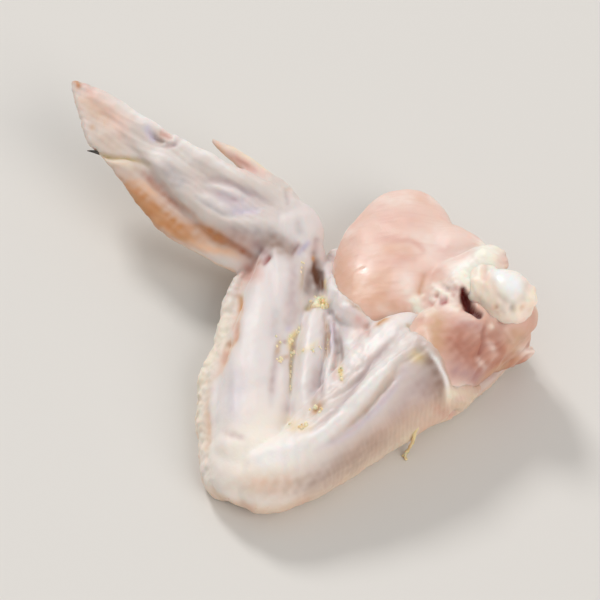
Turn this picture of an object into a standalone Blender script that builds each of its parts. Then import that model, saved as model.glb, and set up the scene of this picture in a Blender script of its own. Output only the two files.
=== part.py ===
"""A raw whole chicken wing, cut off at the shoulder, lying on its outer skin with the inner side up.

It is folded like a Z seen from above: the drumette runs from the elbow to the cut shoulder, the flat
from the elbow to the wrist, and the wing tip back from the wrist. The wing node is all that skin
covers. The meat is bare at the shoulder and fills the drumette inside its skin. The humerus is the
one bone that shows: it runs through the meat, from its bare head at the cut down to the elbow.

Metres, +Z up, +Y from the elbow towards the tip, +X towards the shoulder. The origin is on the
surface that the wing lies on, under the middle of the wing's box.
"""

import math

import bmesh
import bpy
import numpy as np
from mathutils import Matrix, Vector

MM = 0.001

# The driving dimensions: where the joints lie, and how long each limb is in plan. Headings are in
# degrees from +X, and the heights are those of the bones over the surface.
DRUMETTE_LENGTH = 81 * MM
FLAT_LENGTH = 84 * MM
TIP_LENGTH = 78 * MM
WEB_LENGTH = 70 * MM
LOBE_LENGTH = 50 * MM
DRUMETTE_HEADING = 40.6
FLAT_HEADING = 84.8
TIP_HEADING = 146.0
ELBOW_X = -9.4 * MM
ELBOW_Y = -57.7 * MM
ELBOW_HEIGHT = 11.6 * MM
SHOULDER_HEIGHT = 18.6 * MM
WRIST_HEIGHT = 13.6 * MM
TIP_HEIGHT = 27.6 * MM

# The gap between one solid and the next, and how deep the soft underside is pressed flat.
GAP = 0.35 * MM
REST_FLATTENING = 1.3 * MM

# How fine the shapes are: each loft's rings, the cell of the remesh that joins them, the passes that
# round it, and the triangles that each node keeps.
RING_SIDES = 28
RINGS = 36
CELL = 0.85 * MM
SMOOTH_PASSES = 9
WING_TRIANGLES = 7000
MEAT_TRIANGLES = 2000
BONE_TRIANGLES = 640

SKIN_COLOUR = (0.83, 0.70, 0.62, 1.0)
MEAT_COLOUR = (0.80, 0.56, 0.47, 1.0)
BONE_COLOUR = (0.88, 0.85, 0.80, 1.0)


def clear_scene():
    for obj in list(bpy.data.objects):
        bpy.data.objects.remove(obj, do_unlink=True)


def new_collection(name):
    collection = bpy.data.collections.new(name)
    bpy.context.scene.collection.children.link(collection)
    return collection


def new_material(name, colour, roughness):
    material = bpy.data.materials.new(name)
    material.use_nodes = True
    shader = material.node_tree.nodes["Principled BSDF"]
    shader.inputs["Base Color"].default_value = colour
    shader.inputs["Roughness"].default_value = roughness
    shader.inputs["Metallic"].default_value = 0.0
    material.diffuse_color = colour
    return material


class Limb:
    """A straight line between two joints. A place on it is a share of its length, a distance to the
    left of its heading and a lift above the line."""

    def __init__(self, start, heading, length, end_height):
        turn = math.radians(heading)
        self.start = np.array(start)
        self.ahead = np.array([math.cos(turn), math.sin(turn), 0.0])
        self.left = np.array([-math.sin(turn), math.cos(turn), 0.0])
        self.along = self.ahead * length + np.array([0.0, 0.0, end_height - start[2]])
        self.turn = turn

    def place(self, share, left, lift):
        """The point or points in space, with left and lift in millimetres."""
        share = np.atleast_1d(share)[:, None]
        left = np.atleast_1d(left)[:, None] * MM
        lift = np.atleast_1d(lift)[:, None] * MM
        up = np.array([0.0, 0.0, 1.0])
        return self.start + self.along * share + self.left * left + up * lift


ELBOW = (ELBOW_X, ELBOW_Y, ELBOW_HEIGHT)
drumette = Limb(ELBOW, DRUMETTE_HEADING, DRUMETTE_LENGTH, SHOULDER_HEIGHT)
flat = Limb(ELBOW, FLAT_HEADING, FLAT_LENGTH, WRIST_HEIGHT)
WRIST = tuple(flat.place(1.0, 0.0, 0.0)[0])
tip = Limb(WRIST, TIP_HEADING, TIP_LENGTH, TIP_HEIGHT)

# Two more lines to lay shapes on: the bisector of the V, and the bare muscle's middle line.
fold = Limb(ELBOW, (DRUMETTE_HEADING + FLAT_HEADING) / 2, WEB_LENGTH, ELBOW_HEIGHT)
LOBE_START = tuple(fold.place(0.72, -4.6, 1.5)[0])
lobe = Limb(LOBE_START, FLAT_HEADING, LOBE_LENGTH, LOBE_START[2])


def smooth_rows(rows, count):
    """Reads count rows from the smooth curve through the given ones (Catmull-Rom)."""
    rows = np.array(rows, float)
    ends = np.vstack([2 * rows[0] - rows[1], rows, 2 * rows[-1] - rows[-2]])
    at = np.linspace(0, len(rows) - 1, count)
    first = np.minimum(at.astype(int), len(rows) - 2)
    t = (at - first)[:, None]
    a, b, c, d = (ends[first + k] for k in range(4))
    return 0.5 * (
        2 * b + (c - a) * t + (2 * a - 5 * b + 4 * c - d) * t**2 + (3 * b - a - 3 * c + d) * t**3
    )


def round_ends(count, length):
    """How much of its full size each ring has: a quarter ellipse over that share of either end."""
    at = np.linspace(0, 1, count)
    near = np.clip(np.minimum(at, 1 - at) / length, 0, 1)
    return np.sqrt(1 - (1 - near) ** 2)


def loft(target, limb, stations, squareness=2.0, ends=0.14, roll=0.0, frill=0.0, frill_pitch=5.0):
    """Adds a muscle or a fold to the bmesh: rings round a smooth line beside the limb.

    A station is (share along the limb, left, lift, half width, half height), in millimetres.
    squareness is the power of the superellipse, roll lifts the left side of every ring by so many
    degrees, and frill is the depth of the knobs along the line.
    """
    rows = smooth_rows(stations, RINGS)
    full = round_ends(RINGS, ends)
    share, left, lift = rows[:, 0], rows[:, 1], rows[:, 2]
    distance = share * np.linalg.norm(limb.along) / MM
    knobs = 1 + frill * np.sin(2 * math.pi * distance / frill_pitch)
    wide, high = rows[:, 3] * full * knobs, rows[:, 4] * full * knobs
    angle = np.arange(RING_SIDES) * 2 * math.pi / RING_SIDES
    across = np.sign(np.cos(angle)) * np.abs(np.cos(angle)) ** (2 / squareness)
    upward = np.sign(np.sin(angle)) * np.abs(np.sin(angle)) ** (2 / squareness)
    tilt = math.radians(roll)
    rings = []
    for i in range(1, RINGS - 1):
        x, y = wide[i] * across, high[i] * upward
        points = limb.place(
            np.full(RING_SIDES, share[i]),
            left[i] + x * math.cos(tilt) - y * math.sin(tilt),
            lift[i] + x * math.sin(tilt) + y * math.cos(tilt),
        )
        rings.append([target.verts.new(p) for p in points])
    for near, far in zip(rings, rings[1:]):
        for k in range(RING_SIDES):
            target.faces.new((near[k], near[k - 1], far[k - 1], far[k]))
    target.faces.new(rings[0])
    target.faces.new(list(reversed(rings[-1])))


def pebble(target, limb, place, radii, turn=0.0, pitch=0.0, roll=0.0):
    """Adds an ellipsoid: its radii run ahead, left and up from the limb, in millimetres, then it is
    turned about Z, pitched nose up and rolled to the left, in degrees."""
    centre = Vector(limb.place(*place)[0])
    matrix = (
        Matrix.Translation(centre)
        @ Matrix.Rotation(limb.turn + math.radians(turn), 4, "Z")
        @ Matrix.Rotation(-math.radians(pitch), 4, "Y")
        @ Matrix.Rotation(math.radians(roll), 4, "X")
        @ Matrix.Diagonal([r * MM for r in radii] + [1.0])
    )
    bmesh.ops.create_uvsphere(target, u_segments=32, v_segments=20, radius=1.0, matrix=matrix)


def add_flat(target):
    """The flat: a low wide body, the broad muscle over the ulna on it, and down its outer edge a
    raised seam of skin with feather knobs."""
    loft(target, flat, [
        (-0.09, 1, -5, 11, 7),
        (0.08, 2.5, -5, 14, 7.5),
        (0.35, 4, -5, 15, 8),
        (0.60, 3, -5, 13, 8),
        (0.85, 1, -4, 11, 8),
        (1.02, 0, -2, 9, 8),
    ], squareness=2.4)
    loft(target, flat, [
        (-0.06, 3, -1, 9, 6),
        (0.18, 4.2, -0.5, 9.6, 7),
        (0.45, 4.6, 0, 9.2, 7.3),
        (0.78, 2.3, 0, 8.2, 6.6),
        (1.00, 0, -1.5, 7.6, 6),
    ], squareness=2.3)
    loft(target, flat, [
        (0.97, 9, -3, 2.2, 3.4),
        (0.86, 11.8, -4, 2.6, 4),
        (0.72, 14.6, -5, 2.8, 4.2),
        (0.52, 15.8, -6, 2.9, 4.4),
        (0.40, 18, -6.5, 3, 4.6),
        (0.26, 17.4, -7, 3, 4.8),
        (0.08, 14.4, -7, 3.2, 5),
        (-0.04, 11, -6.5, 3.4, 5),
        (-0.07, 5, -6, 3.4, 5),
    ], frill=0.1, ends=0.06)


def add_web(target):
    """The skin that fills the V: a floor from limb to limb, the oval ridge over the radius, a thin
    fold beside it, and the sheet that climbs to the bare muscle."""
    loft(target, fold, [
        (0.10, 0, -5, 6, 7),
        (0.35, 1, -5, 10, 6.5),
        (0.60, 2, -5, 16, 6),
        (0.82, 3, -5.5, 19, 5.5),
        (0.98, 4, -6, 16, 4.5),
    ], squareness=2.6)
    loft(target, flat, [
        (0.74, -9.6, -2, 2.6, 4.5),
        (0.60, -9.4, -1, 3.8, 5),
        (0.41, -9.6, 0, 4.2, 5),
        (0.24, -10.4, -0.5, 4, 5.5),
        (0.10, -11, -2, 4, 6),
    ])
    loft(target, fold, [
        (0.34, -3.5, -2, 1.8, 5),
        (0.50, -2.2, -0.5, 2, 5),
        (0.66, 2.2, 0, 2, 5),
        (0.80, 8, 0, 2, 4.5),
    ])
    loft(target, fold, [
        (0.34, -8, -2, 3, 5),
        (0.52, -8.5, 0, 5, 6),
        (0.70, -5, 1, 8.5, 7),
        (0.84, -2, 2, 11, 7),
    ], roll=-8)


def add_elbow(target):
    """The round corner where the skin wraps the joint."""
    pebble(target, flat, (0.02, 1, -4.5), (12, 14, 8.5))
    pebble(target, drumette, (0.06, -3.4, -3.5), (15, 10.6, 9.5))


def add_drumette(target):
    """The drumette's skin, thicker towards the shoulder, with two long folds on its upper side."""
    loft(target, drumette, [
        (-0.10, -1, -3, 8, 8),
        (0.08, -3.6, -3, 10.5, 10),
        (0.30, -4.6, -2.5, 10.6, 12),
        (0.50, -5, -2, 11, 13.4),
        (0.64, -4.6, -2, 12.6, 14),
        (0.73, -4, -2, 12.6, 14),
    ], squareness=2.3, ends=0.1)
    loft(target, drumette, [
        (0.01, -2, -2, 2, 3.4),
        (0.10, -0.4, 1.2, 2.2, 4),
        (0.28, -1.6, 4.2, 2.2, 5),
        (0.48, -1.2, 6.4, 2.2, 5.6),
        (0.67, 1, 8, 2.2, 5.6),
    ])
    loft(target, drumette, [
        (0.24, -6, 4.5, 2.4, 5),
        (0.44, -6, 6.6, 2.4, 5.6),
        (0.67, -4, 7.6, 2.6, 6),
    ])


def add_rim(target):
    """The skin's thick cut edge round the meat, and the skin of the outer side, which reaches on
    under the meat to its end and under the bare muscle."""
    loft(target, drumette, [
        (0.67, 4, 9.5, 1.8, 1.8),
        (0.685, -3.5, 10.5, 1.8, 2),
        (0.71, -11, 7.5, 1.8, 2.2),
        (0.705, -15, 0, 1.8, 2.6),
        (0.70, -15.2, -7, 1.8, 3),
        (0.72, -14, -12, 2.4, 2.8),
    ], ends=0.08)
    loft(target, drumette, [
        (0.52, 0, -10, 12, 5),
        (0.70, 1.5, -13, 16, 3.8),
        (0.84, 3.5, -15, 17, 2.8),
        (0.96, 4.5, -15.8, 15.6, 2.4),
        (1.04, 3, -15.8, 14.4, 2.2),
        (1.10, 0, -15.2, 12, 1.8),
    ], squareness=2.4, ends=0.06)
    loft(target, lobe, [
        (0.00, -2, -9, 9, 3.6),
        (0.30, -6, -10, 15, 3.2),
        (0.60, -7, -10.4, 17, 2.8),
        (0.80, -3.4, -10.2, 12, 2.4),
        (0.97, -3, -9.6, 6.5, 2),
    ], squareness=2.4, ends=0.08)


def add_meat(target):
    """The drumette's meat: a core inside the skin that swells out of it at the cut, with a torn
    corner."""
    loft(target, drumette, [
        (0.16, -4, -2.5, 4, 4),
        (0.30, -5, -2.5, 7.4, 8.6),
        (0.50, -5.2, -2, 8, 10.4),
        (0.66, -4, -1.8, 9, 10.6),
        (0.76, -3, -1.8, 12, 12),
        (0.94, -4, -2.6, 10.5, 10.8),
        (1.05, -6, -4, 8, 9),
        (1.12, -7.5, -5.5, 6, 7.4),
    ], squareness=2.4, ends=0.1)
    loft(target, drumette, [
        (0.90, -8, -9.6, 5, 3.6),
        (1.01, -10, -11.4, 4, 3),
        (1.085, -12.2, -12.6, 2, 1.8),
    ])
    pebble(target, drumette, (0.86, 3, 3), (8, 6, 6), turn=20)
    pebble(target, drumette, (1.06, 22, -2.4), (11, 18, 7.8), turn=5, roll=-10)
    pebble(target, drumette, (1.11, 11.5, 2), (5.2, 5.2, 5))


def add_lobe(target):
    """The bare inner muscle at the shoulder: one smooth flattened lobe that lies over the web."""
    loft(target, lobe, [
        (-0.02, -1, 1.5, 6, 7),
        (0.18, -4.5, 1.5, 13.5, 9),
        (0.38, -9, 1, 20, 10),
        (0.55, -8.5, 0, 21, 10),
        (0.75, -5.5, -1, 18, 9.2),
        (0.95, -6.5, -2, 14.5, 8),
        (1.10, -7.5, -3, 10, 6.6),
        (1.18, -7.5, -3.6, 6, 5),
    ], squareness=2.3, ends=0.14, roll=-9)


def add_wrist(target):
    """The joint that the wing tip folds over."""
    pebble(target, flat, (0.97, 1.2, 0.4), (12.6, 9.4, 7.8))


def add_tip(target):
    """The wing tip: a flat hand with a raised bone along either side, and behind it a blade of skin
    that ends in a point. The thumb stands off its front edge."""
    loft(target, tip, [
        (-0.12, 2, 0, 9, 7.4),
        (0.10, 4, 0.8, 10, 6.6),
        (0.34, 6, 1.6, 8, 4.4),
        (0.52, 5.2, 1.9, 5.6, 3.2),
        (0.70, 3.5, 1, 4.4, 2.4),
        (0.84, 2, 0.2, 3.4, 1.8),
    ])
    loft(target, tip, [
        (-0.02, -1, 1, 7.5, 7),
        (0.16, -0.8, 2, 6, 6),
        (0.36, 1, 3, 4.6, 4.6),
        (0.56, 2.2, 2.6, 4, 3.6),
        (0.82, 0.8, 0.6, 3.8, 2.8),
        (1.01, 0, 0, 1.6, 1.5),
    ], ends=0.08)
    loft(target, tip, [
        (-0.02, 7, 0, 5.5, 5.5),
        (0.14, 11.4, 0.8, 4.2, 5.2),
        (0.32, 12.2, 1.4, 3.4, 4),
        (0.50, 9.6, 1.8, 2.8, 3),
        (0.64, 6.4, 1.4, 2.2, 2.4),
        (0.78, 4, 0.6, 1.8, 1.8),
    ])
    loft(target, tip, [
        (-0.04, 5, -3, 10, 4),
        (0.12, 7, -3, 12, 3.2),
        (0.34, 9.4, -2, 11.8, 2.4),
        (0.50, 9, -1, 10, 2.1),
        (0.66, 7, -0.4, 9, 1.9),
        (0.80, 5.4, 0, 8.8, 1.8),
        (0.91, 2.2, 0, 5, 1.6),
        (1.00, 0.2, 0, 1.7, 1.3),
    ], squareness=2.6, ends=0.05)
    loft(target, tip, [
        (0.02, -4, 2, 4, 3.6),
        (0.16, -7.2, 2.4, 3.2, 3),
        (0.30, -8, 2.8, 2.2, 2.1),
        (0.46, -8.2, 3.2, 1.0, 1.0),
    ], ends=0.1)


def apply_modifiers(obj):
    bpy.context.view_layer.update()
    graph = bpy.context.evaluated_depsgraph_get()
    mesh = bpy.data.meshes.new_from_object(obj.evaluated_get(graph))
    obj.modifiers.clear()
    obj.data = mesh


def grow_together(name, collection, target, triangles, material):
    """Makes one closed skin of the overlapping shapes in the bmesh, rounds the joins between them,
    and keeps so many triangles."""
    mesh = bpy.data.meshes.new(name)
    bmesh.ops.recalc_face_normals(target, faces=target.faces)
    target.to_mesh(mesh)
    target.free()
    obj = bpy.data.objects.new(name, mesh)
    collection.objects.link(obj)
    remesh = obj.modifiers.new("one skin", "REMESH")
    remesh.mode = "VOXEL"
    remesh.voxel_size = CELL
    smooth = obj.modifiers.new("soft joins", "SMOOTH")
    smooth.factor = 0.5
    smooth.iterations = SMOOTH_PASSES
    apply_modifiers(obj)
    thin = obj.modifiers.new("fewer faces", "DECIMATE")
    thin.use_collapse_triangulate = True
    thin.ratio = triangles / (2 * len(obj.data.polygons))
    apply_modifiers(obj)
    obj.data.materials.append(material)
    return obj


def make_humerus(collection):
    """The bone: a slim shaft with a round, bare head at the cut and a smaller knob at the elbow."""
    target = bmesh.new()
    loft(target, drumette, [
        (0.10, -3, -1, 5.5, 5),
        (0.22, -3, -1, 3.6, 3.6),
        (0.55, -4, 0, 3.2, 3.2),
        (0.85, -5, 3, 4.4, 4.4),
        (1.02, -6, 5, 6.5, 6.5),
    ])
    pebble(target, drumette, (1.03, -6, 5.5), (8.5, 9.5, 8), turn=-10, roll=-12)
    pebble(target, drumette, (0.98, 0.5, 6.5), (6, 6, 5.5), turn=20)
    material = new_material("cartilage_and_bone", BONE_COLOUR, 0.35)
    return grow_together("humerus", collection, target, BONE_TRIANGLES, material)


def make_meat(collection):
    """The drumette's meat with the lobe at its side."""
    target = bmesh.new()
    add_meat(target)
    add_lobe(target)
    material = new_material("raw_meat", MEAT_COLOUR, 0.3)
    return grow_together("meat", collection, target, MEAT_TRIANGLES, material)


def make_wing(collection):
    """All that skin covers, from the cut to the wing tip."""
    target = bmesh.new()
    add_flat(target)
    add_web(target)
    add_elbow(target)
    add_drumette(target)
    add_rim(target)
    add_wrist(target)
    add_tip(target)
    material = new_material("raw_skin", SKIN_COLOUR, 0.4)
    return grow_together("wing", collection, target, WING_TRIANGLES, material)


def cut_socket(outer, inner, cutters):
    """Hollows the outer solid where the inner one runs, a hair wider than it all round."""
    cutter = bpy.data.objects.new(inner.name + "_cutter", inner.data.copy())
    cutters.objects.link(cutter)
    cutter.hide_render = True
    cutter.display_type = "WIRE"
    swell = cutter.modifiers.new("gap", "DISPLACE")
    swell.strength = GAP
    swell.mid_level = 0.0
    cut = outer.modifiers.new("socket", "BOOLEAN")
    cut.operation = "DIFFERENCE"
    cut.object = cutter
    apply_modifiers(outer)


def press_flat(obj):
    """Flattens the soft underside where it rests, so that the wing lies on flat spots."""
    mesh = obj.data
    points = np.empty(len(mesh.vertices) * 3)
    mesh.vertices.foreach_get("co", points)
    points = points.reshape(-1, 3)
    floor = points[:, 2].min() + REST_FLATTENING
    points[:, 2] = np.maximum(points[:, 2], floor)
    mesh.vertices.foreach_set("co", points.ravel())
    mesh.update()
    return floor


def centre_on_floor(objects, floor):
    """Moves the meshes so that the box of all of them stands centred on the origin."""
    corners = np.array([v.co for obj in objects for v in obj.data.vertices])
    middle = (corners.min(0) + corners.max(0)) / 2
    for obj in objects:
        obj.data.transform(Matrix.Translation((-middle[0], -middle[1], -floor)))


def main():
    clear_scene()
    parts = new_collection("chicken_wing")
    cutters = new_collection("cutters")
    bone = make_humerus(parts)
    meat = make_meat(parts)
    wing = make_wing(parts)
    cut_socket(wing, meat, cutters)
    cut_socket(wing, bone, cutters)
    cut_socket(meat, bone, cutters)
    floor = press_flat(wing)
    centre_on_floor([wing, meat, bone], floor)
    for obj in (wing, meat, bone):
        obj.data.shade_smooth()


main()
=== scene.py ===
"""A raw whole chicken wing, cut off at the shoulder and folded in a Z, inner side up.

Sizes are in millimetres until a mesh is made, in the frame of the solids: +Z up, +Y from the elbow
towards the wing tip, +X towards the shoulder.
"""

import math

import bmesh
import bpy
import numpy as np
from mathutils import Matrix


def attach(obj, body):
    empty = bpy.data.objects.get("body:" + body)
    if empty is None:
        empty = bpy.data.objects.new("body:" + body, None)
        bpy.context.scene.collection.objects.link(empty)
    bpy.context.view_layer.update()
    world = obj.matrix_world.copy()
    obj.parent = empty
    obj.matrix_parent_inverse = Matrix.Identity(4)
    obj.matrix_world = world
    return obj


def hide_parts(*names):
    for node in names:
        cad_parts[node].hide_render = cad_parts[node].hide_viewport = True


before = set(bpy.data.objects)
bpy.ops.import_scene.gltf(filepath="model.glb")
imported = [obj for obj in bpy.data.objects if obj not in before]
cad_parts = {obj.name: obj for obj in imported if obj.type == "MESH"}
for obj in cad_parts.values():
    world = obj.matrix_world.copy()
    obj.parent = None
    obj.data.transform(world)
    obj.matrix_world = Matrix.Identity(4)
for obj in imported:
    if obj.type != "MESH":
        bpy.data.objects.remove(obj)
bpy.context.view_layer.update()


# The skin. On a real wing it is one wet, thin, pale sleeve over muscle, bone and fat: tight over the
# flat, creased in the fold of the elbow, loose at the lip and the tip. Each limb's muscles and folds
# are tubes along a bone's line, and one remesh draws the sleeve over all of them.

MM = 0.001


class Limb:
    """A straight line between two joints. A place beside it is a share of its length, a distance to
    the left of its heading and a lift above the line."""

    def __init__(self, start, heading, length, end_height):
        turn = math.radians(heading)
        self.start = np.array(start, float)
        self.heading = heading
        self.length = length
        self.rise = end_height - start[2]
        self.ahead = np.array([math.cos(turn), math.sin(turn)])
        self.left = np.array([-math.sin(turn), math.cos(turn)])

    def place(self, share, left, lift):
        """Start + share x the line + left x the level normal + lift x up, for whole arrays."""
        share, left, lift = np.broadcast_arrays(share, left, lift)
        flat = self.start[:2] + share[..., None] * self.length * self.ahead + left[..., None] * self.left
        return np.concatenate([flat, (self.start[2] + share * self.rise + lift)[..., None]], -1)

    def read(self, points):
        """The reverse of place: share, left and lift of each point."""
        offset = points[:, :2] - self.start[:2]
        share = offset @ self.ahead / self.length
        return share, offset @ self.left, points[:, 2] - self.start[2] - share * self.rise


ELBOW = (-9.4, -57.7, 11.6)
drumette = Limb(ELBOW, 40.6, 81, 18.6)
flat = Limb(ELBOW, 84.8, 84, 13.6)
tip = Limb(flat.place(1.0, 0.0, 0.0), 146.0, 78, 27.6)
fold = Limb(ELBOW, 62.7, 70, 11.6)
lobe_start = fold.place(0.72, -4.6, 1.5)
lobe = Limb(lobe_start, 84.8, 50, lobe_start[2])


def smooth_rows(rows, count):
    """Reads count rows from the Catmull-Rom curve through the given ones."""
    rows = np.array(rows, float)
    ends = np.vstack([2 * rows[0] - rows[1], rows, 2 * rows[-1] - rows[-2]])
    at = np.linspace(0, len(rows) - 1, count)
    first = np.minimum(at.astype(int), len(rows) - 2)
    t = (at - first)[:, None]
    a, b, c, d = (ends[first + k] for k in range(4))
    return 0.5 * (
        2 * b + (c - a) * t + (2 * a - 5 * b + 4 * c - d) * t**2 + (3 * b - a - 3 * c + d) * t**3
    )


def rounded(rings, ends):
    """The fullness of each ring: 1, but within the ends' share it falls to 0 as a quarter ellipse."""
    at = np.linspace(0, 1, rings)
    return np.sqrt(1 - (1 - np.clip(np.minimum(at, 1 - at) / ends, 0, 1)) ** 2)[:, None]


def turned(x, y, degrees):
    """Two coordinates after a turn in their plane."""
    c, s = math.cos(math.radians(degrees)), math.sin(math.radians(degrees))
    return x * c - y * s, x * s + y * c


def globe(rings, sides):
    """A unit sphere: cos(a), sin(a) cos(b) and sin(a) sin(b), a from pole to pole and b around."""
    a, b = np.linspace(0, math.pi, rings)[:, None], np.arange(sides) * 2 * math.pi / sides
    return np.cos(a) + 0 * b, np.sin(a) * np.cos(b), np.sin(a) * np.sin(b)


def tube(limb, stations, squareness=2.0, ends=0.14, roll=0.0, frill=0.0, pitch=5.0, rings=44, sides=40):
    """A muscle or fold: superellipse rings of |x/w|^n + |y/h|^n = 1 on the smooth line through the
    stations (share, left, lift, half width, half height), closed at both ends by a quarter ellipse.
    A frill swells and shrinks the rings by its share, once in each pitch of the length."""
    share, left, lift, wide, high = smooth_rows(stations, rings).T[..., None]
    full = rounded(rings, ends) * (1 + frill * np.sin(2 * math.pi * share * limb.length / pitch))
    angle = np.arange(sides) * 2 * math.pi / sides
    x, y = (size * full * np.sign(way) * np.abs(way) ** (2 / squareness)
            for size, way in ((wide, np.cos(angle)), (high, np.sin(angle))))
    x, y = turned(x, y, roll)
    return limb.place(share, left + x, lift + y)


def ball(limb, place, radii, turn=0.0, roll=0.0, rings=24, sides=36):
    """An ellipsoid: radii ahead, left and up, rolled to the left and then turned about Z."""
    x, y, z = (radius * part for radius, part in zip(radii, globe(rings, sides)))
    y, z = turned(y, z, roll)
    x, y = turned(x, y, limb.heading + turn)
    return limb.place(*place) + np.stack([x, y, z], -1)


ASKEW = (0.31, 0.2, 0.93)  # no thread runs this way


def strand(rows, rings=40, sides=10):
    """A round thread: circles square to the smooth line through the rows (x, y, z, radius), with
    three rings at each end that draw it to a point."""
    rows = smooth_rows(rows, rings)
    line, radius = rows[:, :3], rows[:, 3:] * rounded(rings, 3 / (rings - 1))
    ahead = np.gradient(line, axis=0)
    aside = np.cross(ahead, ASKEW)
    ahead, aside = (way / np.linalg.norm(way, axis=1)[:, None] for way in (ahead, aside))
    angle = (np.arange(sides) * 2 * math.pi / sides)[:, None]
    ring = np.cos(angle) * aside[:, None] + np.sin(angle) * np.cross(ahead, aside)[:, None]
    return line[:, None] + radius[..., None] * ring


def grid_mesh(name, grids):
    """One mesh of all the grids: each is rings x sides points, joined round and along in quads. The
    points of an end ring that lie in one place become one, and all faces are turned outward."""
    points, faces, first = [], [], 0
    for grid in grids:
        rings, sides = grid.shape[:2]
        index = first + np.arange(rings * sides).reshape(rings, sides)
        beside = np.roll(index, -1, axis=1)
        quads = np.stack([index[:-1], beside[:-1], beside[1:], index[1:]], -1)
        points.append(grid.reshape(-1, 3))
        faces.append(quads.reshape(-1, 4))
        first += rings * sides
    mesh = bpy.data.meshes.new(name)
    mesh.from_pydata(np.vstack(points) * MM, [], np.vstack(faces).tolist())
    shape = bmesh.new()
    shape.from_mesh(mesh)
    bmesh.ops.remove_doubles(shape, verts=shape.verts, dist=1e-7)
    bmesh.ops.recalc_face_normals(shape, faces=shape.faces)
    shape.to_mesh(mesh)
    shape.free()
    mesh.shade_smooth()
    return mesh


def show(name, data):
    """Puts a mesh, a lamp or a lens into the scene as an object."""
    obj = bpy.data.objects.new(name, data)
    bpy.context.scene.collection.objects.link(obj)
    return obj


def grow(name, grids, cell, passes):
    """Draws one closed surface over the overlapping grids and rounds the joins between them."""
    obj = show(name, grid_mesh(name, grids))
    remesh = obj.modifiers.new("one surface", "REMESH")
    remesh.mode = "VOXEL"
    remesh.voxel_size = cell * MM
    smooth = obj.modifiers.new("soft joins", "SMOOTH")
    smooth.factor = 0.5
    smooth.iterations = passes
    bpy.context.view_layer.update()
    mesh = bpy.data.meshes.new_from_object(obj.evaluated_get(bpy.context.evaluated_depsgraph_get()))
    obj.modifiers.clear()
    obj.data = mesh
    mesh.shade_smooth()
    return obj


def surface(obj):
    """The points, in millimetres, and the normals of a piece."""
    read = []
    for items, key in ((obj.data.vertices, "co"), (obj.data.vertex_normals, "vector")):
        values = np.empty(len(items) * 3, np.float32)
        items.foreach_get(key, values)
        read.append(values.reshape(-1, 3).astype(float))
    return read[0] / MM, read[1]


def push_out(obj, height):
    """Moves each point along its normal by so many millimetres, but never below the board."""
    points, normals = surface(obj)
    points += normals * height[:, None]
    points[:, 2] = np.maximum(points[:, 2], 0)
    obj.data.vertices.foreach_set("co", (points * MM).astype(np.float32).ravel())
    obj.data.update()


def waves(points, length, seed, stretch=(1, 1, 1), count=14):
    """Smooth noise about 0, mostly from -2 to 2: a sum of cosines of nearly one wave length in
    seeded random directions."""
    rng = np.random.default_rng(seed)
    ways = rng.normal(size=(count, 3))
    ways *= (rng.uniform(0.75, 1.3, count) / np.linalg.norm(ways, axis=1))[:, None]
    turns = (points / np.array(stretch)) @ ways.T * (2 * math.pi / length)
    return np.cos(turns + rng.uniform(0, 2 * math.pi, count)).sum(1) * math.sqrt(2 / count)


def ramp(values, low, high):
    """0 below low, 1 above high, and a smooth step between; low may be the larger."""
    t = np.clip((values - low) / (high - low), 0, 1)
    return t * t * (3 - 2 * t)


# Folds, stains, painted shade and painted highlights are drawn on a plane that faces someone
# looking down on the wing from the elbow.
LOOK_DOWN = math.radians(48.7)
TOWARDS_EYE = np.array([0, -math.cos(LOOK_DOWN), math.sin(LOOK_DOWN)])


def drawn(points):
    """Where points fall on the drawing plane: across, and up the picture."""
    up = points[:, 1] * math.sin(LOOK_DOWN) + points[:, 2] * math.cos(LOOK_DOWN)
    return np.stack([points[:, 0], up], 1)


def raised(across, up, nearer):
    """The point that is drawn at a place and lies so many millimetres towards the eye."""
    return np.array([across, 0, 0]) + up * np.cross(TOWARDS_EYE, (1, 0, 0)) + nearer * TOWARDS_EYE


def drawn_strand(rows):
    """A strand through rows of a drawn place, its height towards the eye, and the radius there."""
    return strand([(*raised(*place), radius) for *place, radius in rows])


def seen_by_eye(normals):
    """1 where the surface faces the eye, and 0 where it faces away."""
    return np.clip(3 * (normals @ TOWARDS_EYE), 0, 1)


def trace(places, path, reach):
    """Distance from each place to the smooth line through the path, and how far along it the nearest
    point lies. Places beyond the reach are left at infinity."""
    line = smooth_rows(path, 4 * len(path)) if len(path) > 1 else np.array(path, float).repeat(2, 0)
    step = np.diff(line, axis=0)
    run = np.hypot(*step.T)
    near = np.all((places > line.min(0) - reach) & (places < line.max(0) + reach), axis=1)
    offset = places[near][:, None] - line[:-1]
    along = np.clip((offset * step).sum(2) / np.maximum(run**2, 1e-9), 0, 1)
    apart = np.hypot(*np.moveaxis(offset - along[..., None] * step, 2, 0))
    best = apart.argmin(1)
    row = np.arange(len(best))
    distance, travelled = np.full(len(places), np.inf), np.zeros(len(places))
    distance[near] = apart[row, best]
    travelled[near] = (np.cumsum(run) - run)[best] + (along * run)[row, best]
    return distance, travelled


def stroke(places, path, width):
    """exp(-(distance / width)^2) from each place to the path. A path of three points or more fades
    to a third at its ends."""
    distance, travelled = trace(places, path, 3 * width)
    weight = np.exp(-((distance / width) ** 2))
    if len(path) > 2:
        length = np.hypot(*np.diff(np.array(path), axis=0).T).sum()
        weight *= 0.33 + 0.67 * ramp(np.minimum(travelled, length - travelled), 0, 0.3 * length)
    return weight


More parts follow.
